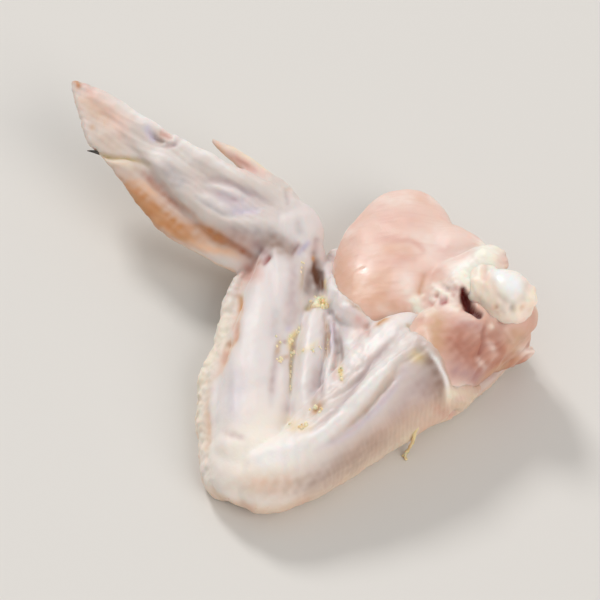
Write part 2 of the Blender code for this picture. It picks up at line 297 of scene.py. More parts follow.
def knobs(points, pitch, width, seed):
    """Round knobs of exp(-(distance / width)^2) at scattered centres, one in each cube of the pitch."""
    repeat = 32
    shifts = np.random.default_rng(seed).uniform(0.12, 0.88, (repeat, repeat, repeat, 3))
    cell = np.floor(points / pitch).astype(int)
    nearest = np.full(len(points), np.inf)
    for step in np.ndindex(3, 3, 3):
        other = cell + np.array(step) - 1
        centre = other + shifts[tuple((other % repeat).T)]
        nearest = np.minimum(nearest, ((centre * pitch - points) ** 2).sum(1))
    return np.exp(-nearest / width**2)


def linear(colour):
    """A colour named by its 0 to 255 screen values, in the linear light that a shader takes."""
    part = np.array(colour) / 255
    return np.where(part <= 0.04045, part / 12.92, ((part + 0.055) / 1.055) ** 2.4)


def lay(tint, *layers):
    """Lays colours over the tints one by one, each as strong as its weight from 0 to 1."""
    for colour, weight in layers:
        weight = np.clip(weight, 0, 1)[:, None]
        tint = tint * (1 - weight) + linear(colour) * weight
    return tint


def plain(points, colour):
    """One colour at every point."""
    return np.broadcast_to(linear(colour), points.shape)


def carve(obj, tint, colours, marks):
    """Raises or cuts each drawn mark along the surface and lays its colour, a little unevenly: some
    marks are stains, others painted shade and painted highlights.
    """
    points, normals = surface(obj)
    places, seen, uneven = drawn(points), seen_by_eye(normals), 1 + 0.1 * waves(points, 2.6, 90)
    height = np.zeros(len(points))
    for colour, strength, width, rise, *path in marks:
        weight = stroke(places, path, width) * seen
        height += rise * weight
        tint = lay(tint, (colours[colour], strength * weight * uneven))
    push_out(obj, height)
    return tint


def dress(obj, tint, wet, material):
    """Keeps the tint and the wetness at each point, and gives the piece the material that reads them."""
    layer = obj.data.attributes.new("tint", "FLOAT_COLOR", "POINT")
    layer.data.foreach_set("color", np.c_[tint, np.ones(len(tint))].astype(np.float32).ravel())
    layer = obj.data.attributes.new("wet", "FLOAT", "POINT")
    layer.data.foreach_set("value", np.full(len(tint), wet, np.float32))
    obj.data.materials.append(material)


# The sheet of the web climbs a little way up the bare muscle, and the cut edge of the drumette's
# skin ends in a flap. Each row is a drawn place, its height towards the eye, and the radius there.
SHEET_EDGE = [
    [(8.9, 17, 4.6, 0.4), (9.3, 14.8, 7.8, 0.8), (10.3, 12.5, 12, 1), (11.5, 10.6, 15.6, 1.3),
     (13.5, 8.8, 19.2, 1.5), (16, 7.2, 21.6, 1.5), (18.5, 4.9, 22.7, 1.5), (21, 3.2, 23, 1.5),
     (25, 4.4, 22.5, 1.4), (28.5, 4.4, 21.4, 1.3), (31, 4.2, 21, 0.9)],
    [(9.8, 10.2, 12.6, 1.2), (11.8, 8.2, 17.8, 1.7), (14.4, 6.4, 21, 1.8), (17.5, 4, 22.6, 1.8),
     (20.5, 2, 23.4, 1.7), (25, 2.6, 22.6, 1.6), (29.5, 2.6, 20.8, 1.2)],
    [(9.4, 7.6, 13.2, 1.4), (11.6, 6, 18, 1.8), (14.6, 4.2, 21.6, 1.8), (18, 2.2, 22.8, 1.6)],
    [(17, -2.5, 25.5, 1.4), (20.5, 0.2, 26.4, 2.2), (24, 2, 26.8, 2.4), (28, 3.2, 27, 2.4),
     (33.5, 3.4, 27, 1.6)],
    [(18, -4.5, 27, 1.6), (22, -1.2, 28.4, 2.2), (26, 1, 29.2, 2.4), (31, 2.4, 29.6, 1.6)],
    [(8.3, 6, 12.6, 1.6), (8.9, 8.5, 12.9, 2), (9.1, 11.5, 11.2, 1.9), (8.8, 15, 7.4, 1.4)],
]
CUT_EDGE = [
    [(33.6, -1.4, 36, 0.6), (36.2, -4.4, 38.1, 1), (38.5, -7.6, 38.8, 1.15), (40, -10.4, 38.9, 1.2),
     (40.9, -13.2, 37.8, 1.2), (41.3, -15.4, 36, 1.3), (42.6, -17.6, 31, 1.5), (44.6, -18.6, 26, 1.7),
     (46, -18.8, 21, 1.4)],
    [(41.6, -14.2, 35.8, 1.4), (44, -16, 31.6, 1.9), (46, -17, 26.6, 1.9), (47.6, -16.8, 22.6, 1.3)],
    [(42.8, -13, 33.6, 1.3), (45.6, -14.6, 29.4, 1.8), (48.2, -15, 25, 1.8), (50.4, -13.8, 21, 1.2)],
]
skin_form = [
    # The flat: a low body, the broad muscle over the ulna, and the lip of loose skin beside it.
    tube(flat, [(-0.09, 1, -5, 11, 7), (0.08, 2.5, -5, 14, 7.5), (0.35, 4, -5, 15, 8),
                (0.60, 3, -5, 13, 8), (0.85, 1, -4, 11, 8), (1.02, 0, -2, 9, 8)], 2.4),
    tube(flat, [(-0.06, 3, -1, 9, 6), (0.18, 4.2, -0.5, 9.6, 7), (0.45, 4.6, 0, 9.2, 7.3),
                (0.78, 2.3, 0, 8.2, 6.6), (1.00, 0, -1.5, 7.6, 6)], 2.3),
    tube(flat, [(0.97, 9, -3, 2.2, 3.4), (0.86, 11.8, -4, 2.6, 4), (0.72, 14.6, -5, 2.8, 4.2),
                (0.52, 15.8, -6, 2.9, 4.4), (0.40, 18, -6.5, 3, 4.6), (0.26, 17.4, -7, 3, 4.8),
                (0.08, 14.4, -7, 3.2, 5), (-0.04, 11, -6.5, 3.4, 5), (-0.07, 5, -6, 3.4, 5)],
         ends=0.06, frill=0.1),
    # The web in the V: its floor, the oval ridge over the radius, a thin fold and the sheet.
    tube(fold, [(0.10, 0, -5, 6, 7), (0.35, 1, -5, 10, 6.5), (0.60, 2, -5, 16, 6),
                (0.82, 3, -5.5, 19, 5.5), (0.98, 4, -6, 16, 4.5)], 2.6),
    tube(flat, [(0.74, -9.6, -2, 2.6, 4.5), (0.60, -9.4, -1, 3.8, 5), (0.41, -9.6, 0, 4.2, 5),
                (0.24, -10.4, -0.5, 4, 5.5), (0.10, -11, -2, 4, 6)]),
    tube(fold, [(0.34, -3.5, -2, 1.8, 5), (0.50, -2.2, -0.5, 2, 5), (0.66, 2.2, 0, 2, 5),
                (0.80, 8, 0, 2, 4.5)]),
    tube(fold, [(0.34, -8, -2, 3, 5), (0.52, -8.5, 0, 5, 6), (0.70, -5, 1, 8.5, 7),
                (0.84, -2, 2, 11, 7)], roll=-8),
    *[drawn_strand(rows) for rows in SHEET_EDGE],
    # The elbow, and the drumette with two long folds on top.
    ball(flat, (0.02, 1, -4.5), (12, 14, 8.5)),
    ball(drumette, (0.06, -3.4, -3.5), (15, 10.6, 9.5)),
    tube(drumette, [(-0.10, -1, -3, 8, 8), (0.08, -4.8, -3, 9.6, 10), (0.30, -7.2, -2.5, 8.2, 12),
                    (0.50, -7, -2, 9, 13.4), (0.62, -5.6, -2, 11.4, 14), (0.705, -4, -2, 12.6, 14)],
         2.3, ends=0.1),
    tube(drumette, [(0.06, -1, -2.2, 4, 5), (0.18, -0.5, -0.6, 5.5, 5.8), (0.30, 0.5, 0.8, 6.5, 6.2),
                    (0.42, 2, 1.7, 7.6, 6.4), (0.54, 4.1, 2.2, 7.7, 6.4), (0.66, 5.8, 2.6, 7, 6.2),
                    (0.78, 7.4, 2.6, 5, 5)], 2.4, roll=-20),
    tube(drumette, [(0.24, -6, 4.5, 2.4, 5), (0.44, -6, 6.6, 2.4, 5.6), (0.67, -4, 7.6, 2.6, 6)]),
    # The thick cut edge round the meat, and the outer skin that reaches on under it.
    *[drawn_strand(rows) for rows in CUT_EDGE],
    tube(drumette, [(0.52, 0, -10, 12, 5), (0.70, 1.5, -13, 16, 3.8), (0.84, 3.5, -15, 17, 2.8),
                    (0.96, 4.5, -15.8, 15.6, 2.4), (1.04, 3, -15.8, 14.4, 2.2),
                    (1.10, 0, -15.2, 12, 1.8)], 2.4, ends=0.06),
    tube(lobe, [(0.00, -2, -9, 9, 3.6), (0.30, -6, -10, 15, 3.2), (0.60, -7, -10.4, 17, 2.8),
                (0.80, -3.4, -10.2, 12, 2.4), (0.97, -3, -9.6, 6.5, 2)], 2.4, ends=0.08),
    tube(lobe, [(0.18, 9.6, -4.4, 2.6, 4.6), (0.36, 11.4, -3.6, 2.8, 5), (0.54, 12.2, -4, 2.9, 5.2),
                (0.68, 12, -6.4, 2.6, 4), (0.84, 11, -9, 2.2, 2.6)], 2.2, roll=-10),
    # The wrist and the tip: a flat hand between two raised bones, a blade behind it, the thumb.
    ball(flat, (0.97, 1.2, 0.4), (12.6, 9.4, 7.8)),
    tube(tip, [(-0.12, 2, 0, 9, 7.4), (0.10, 4, 0.8, 10, 6.6), (0.34, 6, 1.6, 8, 4.4),
               (0.52, 5.2, 1.9, 5.6, 3.2), (0.70, 3.5, 1, 4.4, 2.4), (0.84, 2, 0.2, 3.4, 1.8)]),
    tube(tip, [(-0.02, -1, 1, 7.5, 7), (0.16, -0.8, 2, 6, 6), (0.36, 1, 3, 4.6, 4.6),
               (0.56, 2.2, 2.6, 4, 3.6), (0.82, 0.8, 0.6, 3.8, 2.8), (1.01, 0, 0, 1.6, 1.5)],
         ends=0.08),
    tube(tip, [(-0.02, 7, 0, 5.5, 5.5), (0.14, 11.4, 0.8, 4.2, 5.2), (0.32, 12.2, 1.4, 3.4, 4),
               (0.50, 9.6, 1.8, 2.8, 3), (0.64, 6.4, 1.4, 2.2, 2.4), (0.78, 4, 0.6, 1.8, 1.8)]),
    tube(tip, [(-0.04, 5, -3, 10, 4), (0.12, 8, -3, 13, 3.2), (0.34, 10.8, -2.2, 13.2, 2.4),
               (0.50, 10.2, -1.2, 11.2, 2.1), (0.66, 7.6, -0.4, 9.6, 1.9), (0.80, 5.4, 0, 8.8, 1.8),
               (0.91, 2.2, 0, 5, 1.6), (1.00, 0.2, 0, 1.7, 1.3)], 2.6, ends=0.05),
    tube(tip, [(0.02, -4, 2, 4, 3.6), (0.16, -7.2, 2.4, 3.2, 3), (0.30, -8, 2.8, 2.2, 2.1),
               (0.46, -8.2, 3.2, 1, 1)], ends=0.1),
]
skin = grow("wing_skin", skin_form, 0.56, 9)

# Of these colours the greyish brown is only painted shade. The umber is mostly painted shade in creases, pits
# and gaps, and also a few dark spots. White also gives painted highlights, and mauve, grey, tan, peach and
# amber also give painted shade, in the marks named below.
SKIN = {
    "white": (240, 236, 234), "cream": (240, 228, 208), "pink": (226, 192, 184), "rose": (212, 160, 144),
    "peach": (230, 190, 158), "tan": (206, 174, 144), "amber": (196, 140, 92), "rust": (164, 94, 54),
    "red": (160, 84, 80), "mauve": (176, 146, 148), "lavender": (208, 200, 216), "grey": (180, 174, 176),
    "umber": (118, 76, 54), "olive": (190, 166, 118), "yellow": (234, 214, 152), "ochre": (206, 148, 78),
    "shade_brown": (166, 140, 128), "blush": (250, 224, 212),
}
LIP = [(-18.3, 15.5), (-19.6, 12.5), (-20.3, 7.5), (-21, 1.1), (-22.5, -3.1), (-24.5, -7.4),
       (-26.2, -11.5), (-27, -16.4), (-27, -22.3), (-26, -29.1), (-25.2, -34.3), (-24, -39)]
LIP_WIDTH = 2.6
# Each mark: its colour and strength, its width and height (minus is a crease), and its drawn path.
SKIN_MARKS = [
    # The flat: the groove inside the lip, its peach partly the lip's painted shadow; faint streaks on
    # the muscle, the white ones partly painted highlight; painted grey shade on its left, painted mauve
    # shade on its right, and a crease at its foot darkened with painted shade.
    ("rose", 0.8, 2.2, -0.5, (-15.8, 20), (-14.8, 17), (-15.6, 13.5)),
    ("rose", 0.5, 2.2, 0, (-12.4, 19), (-12, 16)),
    ("peach", 0.75, 1.2, -0.8, (-16.5, 13), (-16.8, 8), (-17.2, 3), (-17.5, -1), (-19.2, -3.5), (-20.3, -7),
     (-22, -11), (-24.2, -13.5)),
    ("ochre", 0.75, 0.7, -0.2, (-16.8, 9.8), (-16.8, 7)),
    ("rose", 0.5, 1, 0, (-17.5, 2.5), (-17.3, -1.2)),
    ("amber", 0.65, 0.8, -0.3, (-19.3, -3)),
    ("rose", 0.4, 0.9, 0, (-20, -5.5), (-20.6, -7.5)),
    ("peach", 0.55, 0.9, -0.35, (-24.3, -15), (-24.3, -24), (-24.1, -30), (-24, -34)),
    ("white", 0.5, 2.4, 0, (-12, 14), (-12.5, 5), (-13.2, -5), (-12.5, -16)),
    ("grey", 0.18, 1.4, -0.15, (-18.2, -9), (-18.6, -17), (-18.4, -24)),
    ("lavender", 0.35, 2.6, 0, (-16.5, -12), (-16.5, -22), (-13.5, -23)),
    ("mauve", 0.35, 1.1, -0.3, (-20, -26.6), (-16.5, -27.8), (-13, -28.8)),
    ("mauve", 0.4, 1.7, -0.2, (-1.9, 21), (-1.8, 15), (-2.6, 8), (-3.4, 4.5)),
    ("olive", 0.4, 0.8, 0.2, (0.7, 20.5), (0.4, 15.5), (0.2, 11.5)),
    ("mauve", 0.3, 1.6, -0.3, (-0.2, 9.5), (-1, 5), (-4.4, 1.5)),
    ("grey", 0.3, 1.6, 0, (-6.4, 6), (-6.8, 0)),
    ("mauve", 0.4, 1, -0.35, (-5.4, -1), (-6.1, -8), (-6.6, -13), (-6.8, -19.5)),
    ("white", 0.5, 0.9, 0.3, (-4.2, -9), (-4.4, -15), (-4.2, -18)),
    # The thin fat line and its cluster, brown and mauve between the granules.
    ("olive", 0.75, 0.6, -0.45, (0.6, 2.2), (-0.2, 0.6), (-1.4, -2), (-1.7, -6), (-1.8, -12), (-1.8, -17.5)),
    ("tan", 0.7, 0.8, 0.1, (-4.6, -1.2), (-5.3, -3), (-5.8, -6)),
    ("tan", 0.6, 0.7, 0.2, (-5.6, -7.2), (-3.4, -6.3), (-1.6, -6.2)),
    ("yellow", 0.8, 0.9, 0.3, (0, 1.4), (-2.1, -1.6), (-1.6, -5.2)),
    ("yellow", 0.45, 0.8, 0.1, (0.2, -5.2), (3, -4.1), (5.4, -1.7)),
    ("amber", 0.6, 0.5, 0.2, (-4.8, -7.5)),
    ("mauve", 0.6, 0.6, -0.3, (-3.5, -2.1)),
    ("mauve", 0.5, 0.6, -0.3, (-1.3, -3.5)),
    ("lavender", 0.8, 0.9, 0, (-2.6, 1.6)),
    ("mauve", 0.3, 1.6, -0.2, (-2.4, -20.4)),
    # The oval ridge over the radius, with a painted highlight on its left and painted shade on its
    # right; beside it a tan line, a lavender fold with a painted highlight, and a groove darkened with
    # painted shade, and yellow fat.
    ("white", 0.35, 2.6, 0.2, (4.2, 5.5), (3, 1.5), (2.2, -5), (1.2, -12), (1.2, -17.5)),
    ("mauve", 0.38, 1.8, -0.2, (5.4, -8), (5.1, -13), (4.6, -18)),
    ("mauve", 0.5, 0.55, -0.5, (7, -7.5), (6.8, -12), (6.6, -17)),
    ("tan", 0.8, 0.6, -0.5, (6.9, 5.2), (7.9, 2.2), (8.1, -1), (7.9, -4.5), (7.4, -7)),
    ("lavender", 0.7, 0.9, 0.5, (8.8, 4), (9.4, 0), (8.9, -4.5)),
    ("white", 0.7, 0.9, 0.4, (8.4, -7), (8.1, -11), (8.4, -15.5)),
    ("pink", 0.5, 0.9, 0, (10.3, -5.5), (10.4, -12)),
    ("mauve", 0.5, 0.8, -0.5, (8.4, 8.5), (9.3, 4.5), (9.9, 1.5), (10.8, -2.5)),
    ("umber", 0.5, 0.8, -0.7, (10.3, 0.5), (11.3, -2.8), (11.7, -5), (11.9, -8)),
    ("yellow", 0.9, 0.7, 0.1, (11.8, -8), (11.9, -10), (12.3, -12.2)),
    ("yellow", 0.95, 1.1, 0.5, (4.6, 8.2), (5.6, 10), (6.8, 8.9), (5.6, 8)),
    ("olive", 0.8, 0.8, -0.5, (3.2, 8.6), (2.2, 7)),
    # The bottom of the V: creamy fat, an ochre spot, and the long crease beside the drumette, darkened
    # with painted shade under a painted highlight along the drumette's fold. A painted highlight on the
    # elbow, and painted shade along the lower edge of the elbow and the drumette and beside the cut edge.
    ("cream", 0.8, 1.5, 0.2, (-4, -22.5), (-1, -24), (3.6, -24.9)),
    ("yellow", 0.4, 1.1, 0, (-0.8, -25.4), (4, -25.7)),
    ("ochre", 0.75, 0.9, -0.3, (4.2, -21.4), (5.4, -20.2), (7.4, -18.8)),
    ("tan", 0.6, 1.2, 0, (4.8, -18.4)),
    ("mauve", 0.6, 0.95, -0.35, (1, -27.2), (5.2, -25.6), (8.6, -23), (12.5, -18.8), (16.2, -13.6),
     (19.8, -8.6), (23.2, -4), (26.4, 0), (28.4, 2.2)),
    ("white", 1.3, 2, 0.8, (-4, -31.8), (3, -29.4), (8, -26.4), (12, -22.6), (17, -17), (21, -12), (25, -7),
     (28, -2.6), (29.8, 0.4)),
    ("tan", 0.4, 1.2, -0.5, (10, -28.4), (15, -24.2), (19, -19.8), (22, -15.8), (24.8, -11.8), (28.4, -6)),
    ("lavender", 0.5, 1.1, 0.5, (6, -31), (12, -28.2), (17, -24.4), (22, -19.8), (26, -14.8), (29.6, -9)),
    ("mauve", 0.3, 2.4, -0.2, (27, -21), (32, -14)),
    ("mauve", 0.45, 3.6, 0, (33.5, -10), (35.5, -13.5), (35, -18)),
    ("white", 1, 3.4, 0.2, (-9, -33), (-1, -31.4)),
    ("peach", 0.45, 3.4, 0, (-16, -40.4), (-4, -40.8), (4, -38.6)),
    ("shade_brown", 0.6, 3.6, 0, (-6, -43), (4, -40), (12, -35.6), (20, -30.4), (30, -24)),
    ("shade_brown", 0.25, 3.4, 0, (31, -14), (35, -12), (35.4, -18)),
    # The sheet in the V, pink where it reaches the lobe. Its small white flecks are partly fat and
    # partly painted highlights, and a broad white band near its right end is painted light over shade.
    ("pink", 0.7, 2.2, 0, (14.5, 6.5), (17, 4), (17.5, 1), (17, -2.5)),
    ("rose", 0.5, 0.8, -0.3, (18.9, 2.8), (19, 0)),
    ("umber", 0.45, 0.7, -0.3, (15.2, 8)),
    ("tan", 0.6, 0.6, -0.3, (12, 10.6), (14, 9.2), (16.4, 7.6), (18.4, 5.6)),
    ("white", 0.9, 0.9, 0.3, (12.2, 8.2)),
    ("white", 0.9, 0.8, 0.3, (16.8, -4.6)),
    ("white", 0.8, 0.7, 0.3, (13.6, -3)),
    ("white", 0.8, 0.8, 0.2, (25.8, -3)),
    ("white", 0.9, 2.4, 0, (19.5, -2.5), (24.5, 1.4)),
    ("white", 0.8, 0.9, 0.4, (14.5, -7.5), (14, -2.5)),
    ("ochre", 0.85, 0.7, 0.3, (21, 2.6), (23.4, 4), (25.4, 5)),
    ("olive", 0.6, 0.6, -0.4, (30.2, 3), (31.4, 1.8)),
    # The cut edge of the skin: a yellow patch, painted brown shade beside the edge, the bright edge and
    # its corner.
    ("yellow", 0.65, 1.7, 0, (32.4, -5.2), (34, -5.6)),
    ("shade_brown", 0.55, 2.2, 0, (33.6, -3.6), (36, -7.6), (37.4, -11.6), (38, -17)),
    ("umber", 0.5, 1.5, 0, (33.4, -2.6), (35, -4.6), (37, -7.2), (38.4, -10), (39.3, -13), (39.7, -16),
     (40, -19.4)),
    ("cream", 1, 0.9, 0, (41.4, -14.4), (41.8, -17)),
    ("white", 1.1, 0.6, 0.1, (35.4, -3.4), (36.8, -5), (38.8, -7.8), (40.3, -10.8), (41.2, -13.4),
     (41.6, -16.6)),
    ("cream", 0.8, 2.4, 0, (43, -16), (46, -16.6)),
    ("tan", 0.35, 2.4, 0, (41.4, -19.4), (45.2, -17.6), (49.6, -15.2)),
    ("pink", 0.5, 1, -0.3, (42.8, -17.6), (45, -17), (47, -15.8)),
    ("rose", 0.5, 1.8, 0, (38.6, -20), (41.5, -21.6)),
    # The tip: its point, the white bone ridge, the pit, darkened with painted shade, and the pink and
    # yellow skin between.
    ("blush", 0.7, 3.6, 0, (-61, 66), (-53, 59)),
    ("blush", 0.6, 2.6, 0, (-22, 51.6), (-12, 46.6)),
    ("amber", 0.95, 1, 0, (-65.9, 71.6), (-64.8, 69.6)),
    ("pink", 0.7, 1.3, 0, (-63.2, 70.4), (-61, 67.4)),
    ("white", 0.9, 1.6, 0.5, (-58, 68.4), (-54.5, 66), (-50, 63.2), (-45, 60.2), (-40, 57.6), (-34, 53.8),
     (-27, 49.8), (-20, 45.9), (-12, 43.4)),
    ("white", 0.7, 2.6, 0.3, (-44.5, 51.5), (-38, 48.4), (-31, 48.2)),
    ("tan", 0.45, 2.6, 0, (-62.4, 64.5), (-57, 60.6)),
    ("rose", 0.2, 2.4, 0, (-59, 65), (-54.2, 60.4), (-52, 56), (-49, 53)),
    ("tan", 0.3, 3.4, 0, (-60, 57.2), (-55, 52.4), (-50, 51)),
    ("ochre", 0.4, 0.9, 0, (-60.3, 57.4)),
    ("umber", 0.6, 1, -1.2, (-43.8, 56.2), (-41.6, 54.4), (-39, 53.6)),
    ("rose", 0.7, 0.9, -0.6, (-40.4, 56), (-38.2, 55)),
    ("lavender", 0.8, 1.1, -0.3, (-44.6, 57.2), (-43, 54.6)),
    ("mauve", 0.6, 0.9, -0.5, (-40, 52.4), (-37, 52.4), (-35.4, 54)),
    ("umber", 0.8, 0.7, -0.6, (-60.8, 50.2), (-59.6, 50.4)),
    ("olive", 0.8, 0.8, -0.8, (-59.8, 50), (-55, 48.9), (-51, 48.6), (-47.6, 48.2), (-44.2, 46.8)),
    ("cream", 0.6, 1, 0.3, (-57, 47.4), (-51, 46.8), (-46.6, 45.2)),
    # The blade behind it: a broad amber band of painted warm shade, with tan and peach strips, two
    # rust lines and a red spot along it.
    ("amber", 0.95, 3, 0, (-54, 44.4), (-50, 41.5), (-45.6, 37.4), (-41, 33.6), (-35.5, 29.8), (-30, 27),
     (-25, 25.6)),
    ("tan", 0.6, 1.5, 0, (-52, 41.4), (-45.6, 35.6), (-40.6, 31.4), (-34, 26.8), (-28, 23.6)),
    ("amber", 0.85, 1.7, 0, (-50, 40), (-43, 33.4), (-36, 28.2), (-28, 24.4)),
    ("peach", 0.6, 1.4, 0.3, (-47.4, 42.6), (-43.4, 39.8), (-40, 37.2)),
    ("rust", 0.6, 1.1, -0.35, (-47.6, 46), (-46, 45), (-43.4, 43), (-41, 40.4), (-37.5, 37.2), (-35, 35.2),
     (-31, 33)),
    ("red", 0.35, 0.8, 0, (-43.6, 43.4)),
    ("rust", 0.9, 1.15, -0.35, (-29.4, 30), (-24.4, 27.2), (-20, 25), (-16.2, 22.8), (-11.8, 20.2)),
    ("amber", 0.8, 1.8, 0, (-30, 30.2), (-24.5, 27.4), (-19, 24)),
    ("peach", 0.8, 1.3, 0.2, (-31, 25), (-26, 23.4), (-20, 22.4), (-16.6, 20.6)),
    # The hollow between its bones: grey and lavender rings, the grey partly painted shade, and
    # painted shade where it runs down to the wrist.
    ("grey", 0.6, 2.6, -0.2, (-38, 45), (-34.5, 42.4)),
    ("mauve", 0.45, 1.1, -0.4, (-30, 43.4), (-27.6, 42.8), (-24, 43), (-20, 41.6), (-16, 39.9), (-12, 38),
     (-8.8, 36.6)),
    ("lavender", 0.5, 3.2, -0.7, (-26, 39.6), (-20, 37.4), (-13, 36.6)),
    ("white", 0.6, 0.8, 0.3, (-26.5, 41.6), (-22, 40.5), (-18, 39.3), (-15.5, 38)),
    ("mauve", 0.35, 0.8, -0.25, (-26.5, 40.3), (-23, 39), (-20, 37.8), (-16.5, 37.6)),
    ("white", 0.6, 1, 0.4, (-29, 39), (-24, 36.2), (-20, 34.3)),
    ("grey", 0.6, 0.9, -0.4, (-29.6, 37.6), (-25, 35), (-22, 33.3), (-18, 32.4)),
    ("lavender", 0.7, 1.2, -0.2, (-19, 34.2), (-13, 34.4)),
    ("white", 0.4, 1.3, 0.4, (-22, 31.6), (-15, 30.8), (-9, 31.4)),
    ("grey", 0.6, 1.9, -0.2, (-23, 29.6), (-15, 28), (-9.5, 28)),
    ("umber", 0.25, 1.6, -0.3, (-8.4, 27), (-6.6, 26.6)),
    ("pink", 0.5, 2, 0, (-20, 27.6), (-15, 25.6)),
    ("mauve", 0.75, 1.7, -0.3, (-12.6, 24.6), (-10.2, 22.6)),
    ("shade_brown", 0.4, 2.4, 0, (-19, 27), (-11, 25.4)),
    ("red", 0.8, 0.7, -0.7, (-10.4, 20), (-9, 21.5)),
    # The thumb, pink inside its cream edge.
    ("pink", 0.7, 1.7, -0.6, (-22.6, 50.6), (-19, 48.8), (-16, 47), (-11.4, 44.6)),
    ("rose", 0.5, 1, 0, (-20.4, 49.4), (-17.4, 48.2), (-14.6, 46.6)),
    ("cream", 0.8, 0.8, 0.4, (-24, 52.6), (-19, 51.4), (-12, 47.6), (-6, 45.2)),
    ("peach", 0.6, 0.9, 0, (-25, 54), (-23.4, 50.4)),
    # The wrist: soft knobs and lines, its purple spot, painted shade below it, and the dark gap beside
    # the lobe, its dark painted shadow.
    ("mauve", 0.3, 0.7, -0.35, (-4.6, 39.5), (-4, 36.5)),
    ("white", 0.5, 1.4, 0.5, (-3.6, 41.4)),
    ("tan", 0.35, 0.6, -0.35, (-4.8, 40.4), (-3, 41)),
    ("grey", 0.35, 1.1, -0.4, (-1.2, 32), (-0.6, 29), (0.8, 27.4)),
    ("tan", 0.7, 0.8, -0.5, (5.5, 37), (6.5, 33.4), (6.4, 30.2)),
    ("mauve", 0.8, 0.8, -0.5, (-2.2, 22.8), (-0.9, 24.6)),
    ("lavender", 0.9, 0.8, 0, (-0.5, 22.6), (1.8, 25.4)),
    ("shade_brown", 0.85, 2.6, -0.3, (-8, 25.6), (-3.4, 23.4)),
    ("mauve", 0.5, 1, -0.2, (4.2, 26.4), (3.6, 23)),
    ("umber", 0.55, 1.6, -0.6, (3.2, 17), (2.4, 12.4)),
    ("umber", 1.1, 1.2, -1, (3.8, 22.2), (4.6, 18.4), (5.4, 15), (5.6, 13), (5, 11.2)),
    ("yellow", 0.6, 0.6, 0.2, (6.8, 15), (7.2, 13)),
    ("ochre", 0.7, 0.7, 0, (3.4, 21.2)),
]
points, normals = surface(skin)
seen = seen_by_eye(normals)
outer = ramp(normals[:, 2], 0.3, -0.3)
share, left, _ = drumette.read(points)
on_drumette = ramp(share, 0.02, 0.25) * ramp(left, 7, 2)
tip_share, tip_left, _ = tip.read(points)
on_tip = ramp(tip_share, -0.05, 0.15) * ramp(points[:, 2], 8, 14)
near_elbow = np.exp(-((points[:, :2] - np.array(ELBOW[:2])) ** 2).sum(1) / 16**2)
# The drumette's flank where it turns away from the eye; its tint below is partly painted shade.
shaded_flank = on_drumette * ramp(normals @ TOWARDS_EYE, 0.95, 0.6) * ramp(left, -4, -12)
fold_share, fold_left, _ = fold.read(points)
tint = lay(
    plain(points, (229, 222, 221)),
    # A pale wash on the web in the V, only where it faces the eye: painted light over its shade.
    ((244, 238, 234), ramp(fold_share, 0.4, 0.6) * ramp(np.abs(fold_left + 8), 9, 5) * seen * 0.6),
    ((218, 204, 198), on_drumette * 0.8),
    # Tan and painted shade on the drumette's flank where it turns from the eye.
    ((210, 182, 166), shaded_flank),
    ((219, 209, 203), on_tip),
    ((250, 242, 232), near_elbow),
    ((228, 206, 186), outer),
    ((222, 184, 164), outer * ramp(waves(points, 16, 71), 0.2, 1.6) * 0.6),
    ((236, 222, 196), outer * ramp(waves(points, 12, 72), 0.4, 1.8) * 0.5),
    (SKIN["cream"], stroke(drawn(points), LIP, LIP_WIDTH) * 0.8),
)
tint = carve(skin, tint, SKIN, SKIN_MARKS)

# Loose skin is never even: broad swells, a scalloped lip, long wrinkles in the web and on the
# drumette, fine cross wrinkles on its flank, and a follicle in each bump of the outer skin.
SCALLOP_PITCH = 2.3
FOLLICLES = {"pitch": 3.1, "seed": 61}
points = surface(skin)[0]
distance, travelled = trace(drawn(points), LIP, 9)
lip = np.exp(-((distance / LIP_WIDTH) ** 2))
fold_share, fold_left, _ = fold.read(points)
in_web = ramp(fold_share, 0.2, 0.4) * ramp(np.abs(fold_left + 1), 17, 9) * seen
pimple = knobs(points, width=0.8, **FOLLICLES)
gooseflesh = np.clip(outer + 0.5 * lip + 0.9 * near_elbow * ramp(drawn(points)[:, 1], -37, -43), 0, 1)


def wrinkles(place, pitch, wander, length, seed):
    """Long waves of one pitch across a place, in millimetres, that wander from side to side."""
    return np.sin(place * 2 * math.pi / pitch + wander * waves(points, length, seed))


swell = 0.16 * waves(points, 12, 1) + 0.05 * waves(points, 5, 2)
swell += lip * (0.1 * wrinkles(travelled + SCALLOP_PITCH / 4, SCALLOP_PITCH, 1.2, 6, 3)
                + 0.36 * knobs(points, 2.6, 0.95, 62) + 0.1 * waves(points, 4, 4))
swell += in_web * 0.05 * wrinkles(fold_left, 2.3, 1.2, 14, 5)
swell += (1 - outer) * 0.05 * waves(points, 2.4, 10, (1, 9, 9))
swell += (1 - outer) * on_drumette * 0.11 * wrinkles(left, 3.1, 1.3, 17, 6)
swell += (1 - outer) * on_tip * 0.07 * wrinkles(tip_left, 1.9, 1.1, 11, 8)
swell += shaded_flank * 0.07 * wrinkles(share * drumette.length, 1.5, 1, 9, 9)
swell += gooseflesh * (0.17 * pimple + 0.05 * waves(points, 2.2, 7))
push_out(skin, swell)
tint = lay(tint, ((238, 224, 206), gooseflesh * pimple * 0.35))
points = surface(skin)[0]
tint = lay(tint, ((196, 150, 122), gooseflesh * knobs(points, width=0.3, **FOLLICLES) * 0.5))
skin_wet = 0.1 + 0.5 * np.clip(0.6 * in_web + on_drumette * (1 - outer) * 0.6 + on_tip * 0.3, 0, 1)


def node(tree, kind, inputs=(), **settings):
    """Adds a shader node; an input is a value or the socket that feeds it."""
    made = tree.nodes.new("ShaderNode" + kind)
    for key, value in settings.items():
        setattr(made, key, value)
    for key, value in dict(inputs).items():
        if isinstance(value, bpy.types.NodeSocket):
            tree.links.new(value, made.inputs[key])
        else:
            made.inputs[key].default_value = value
    return made


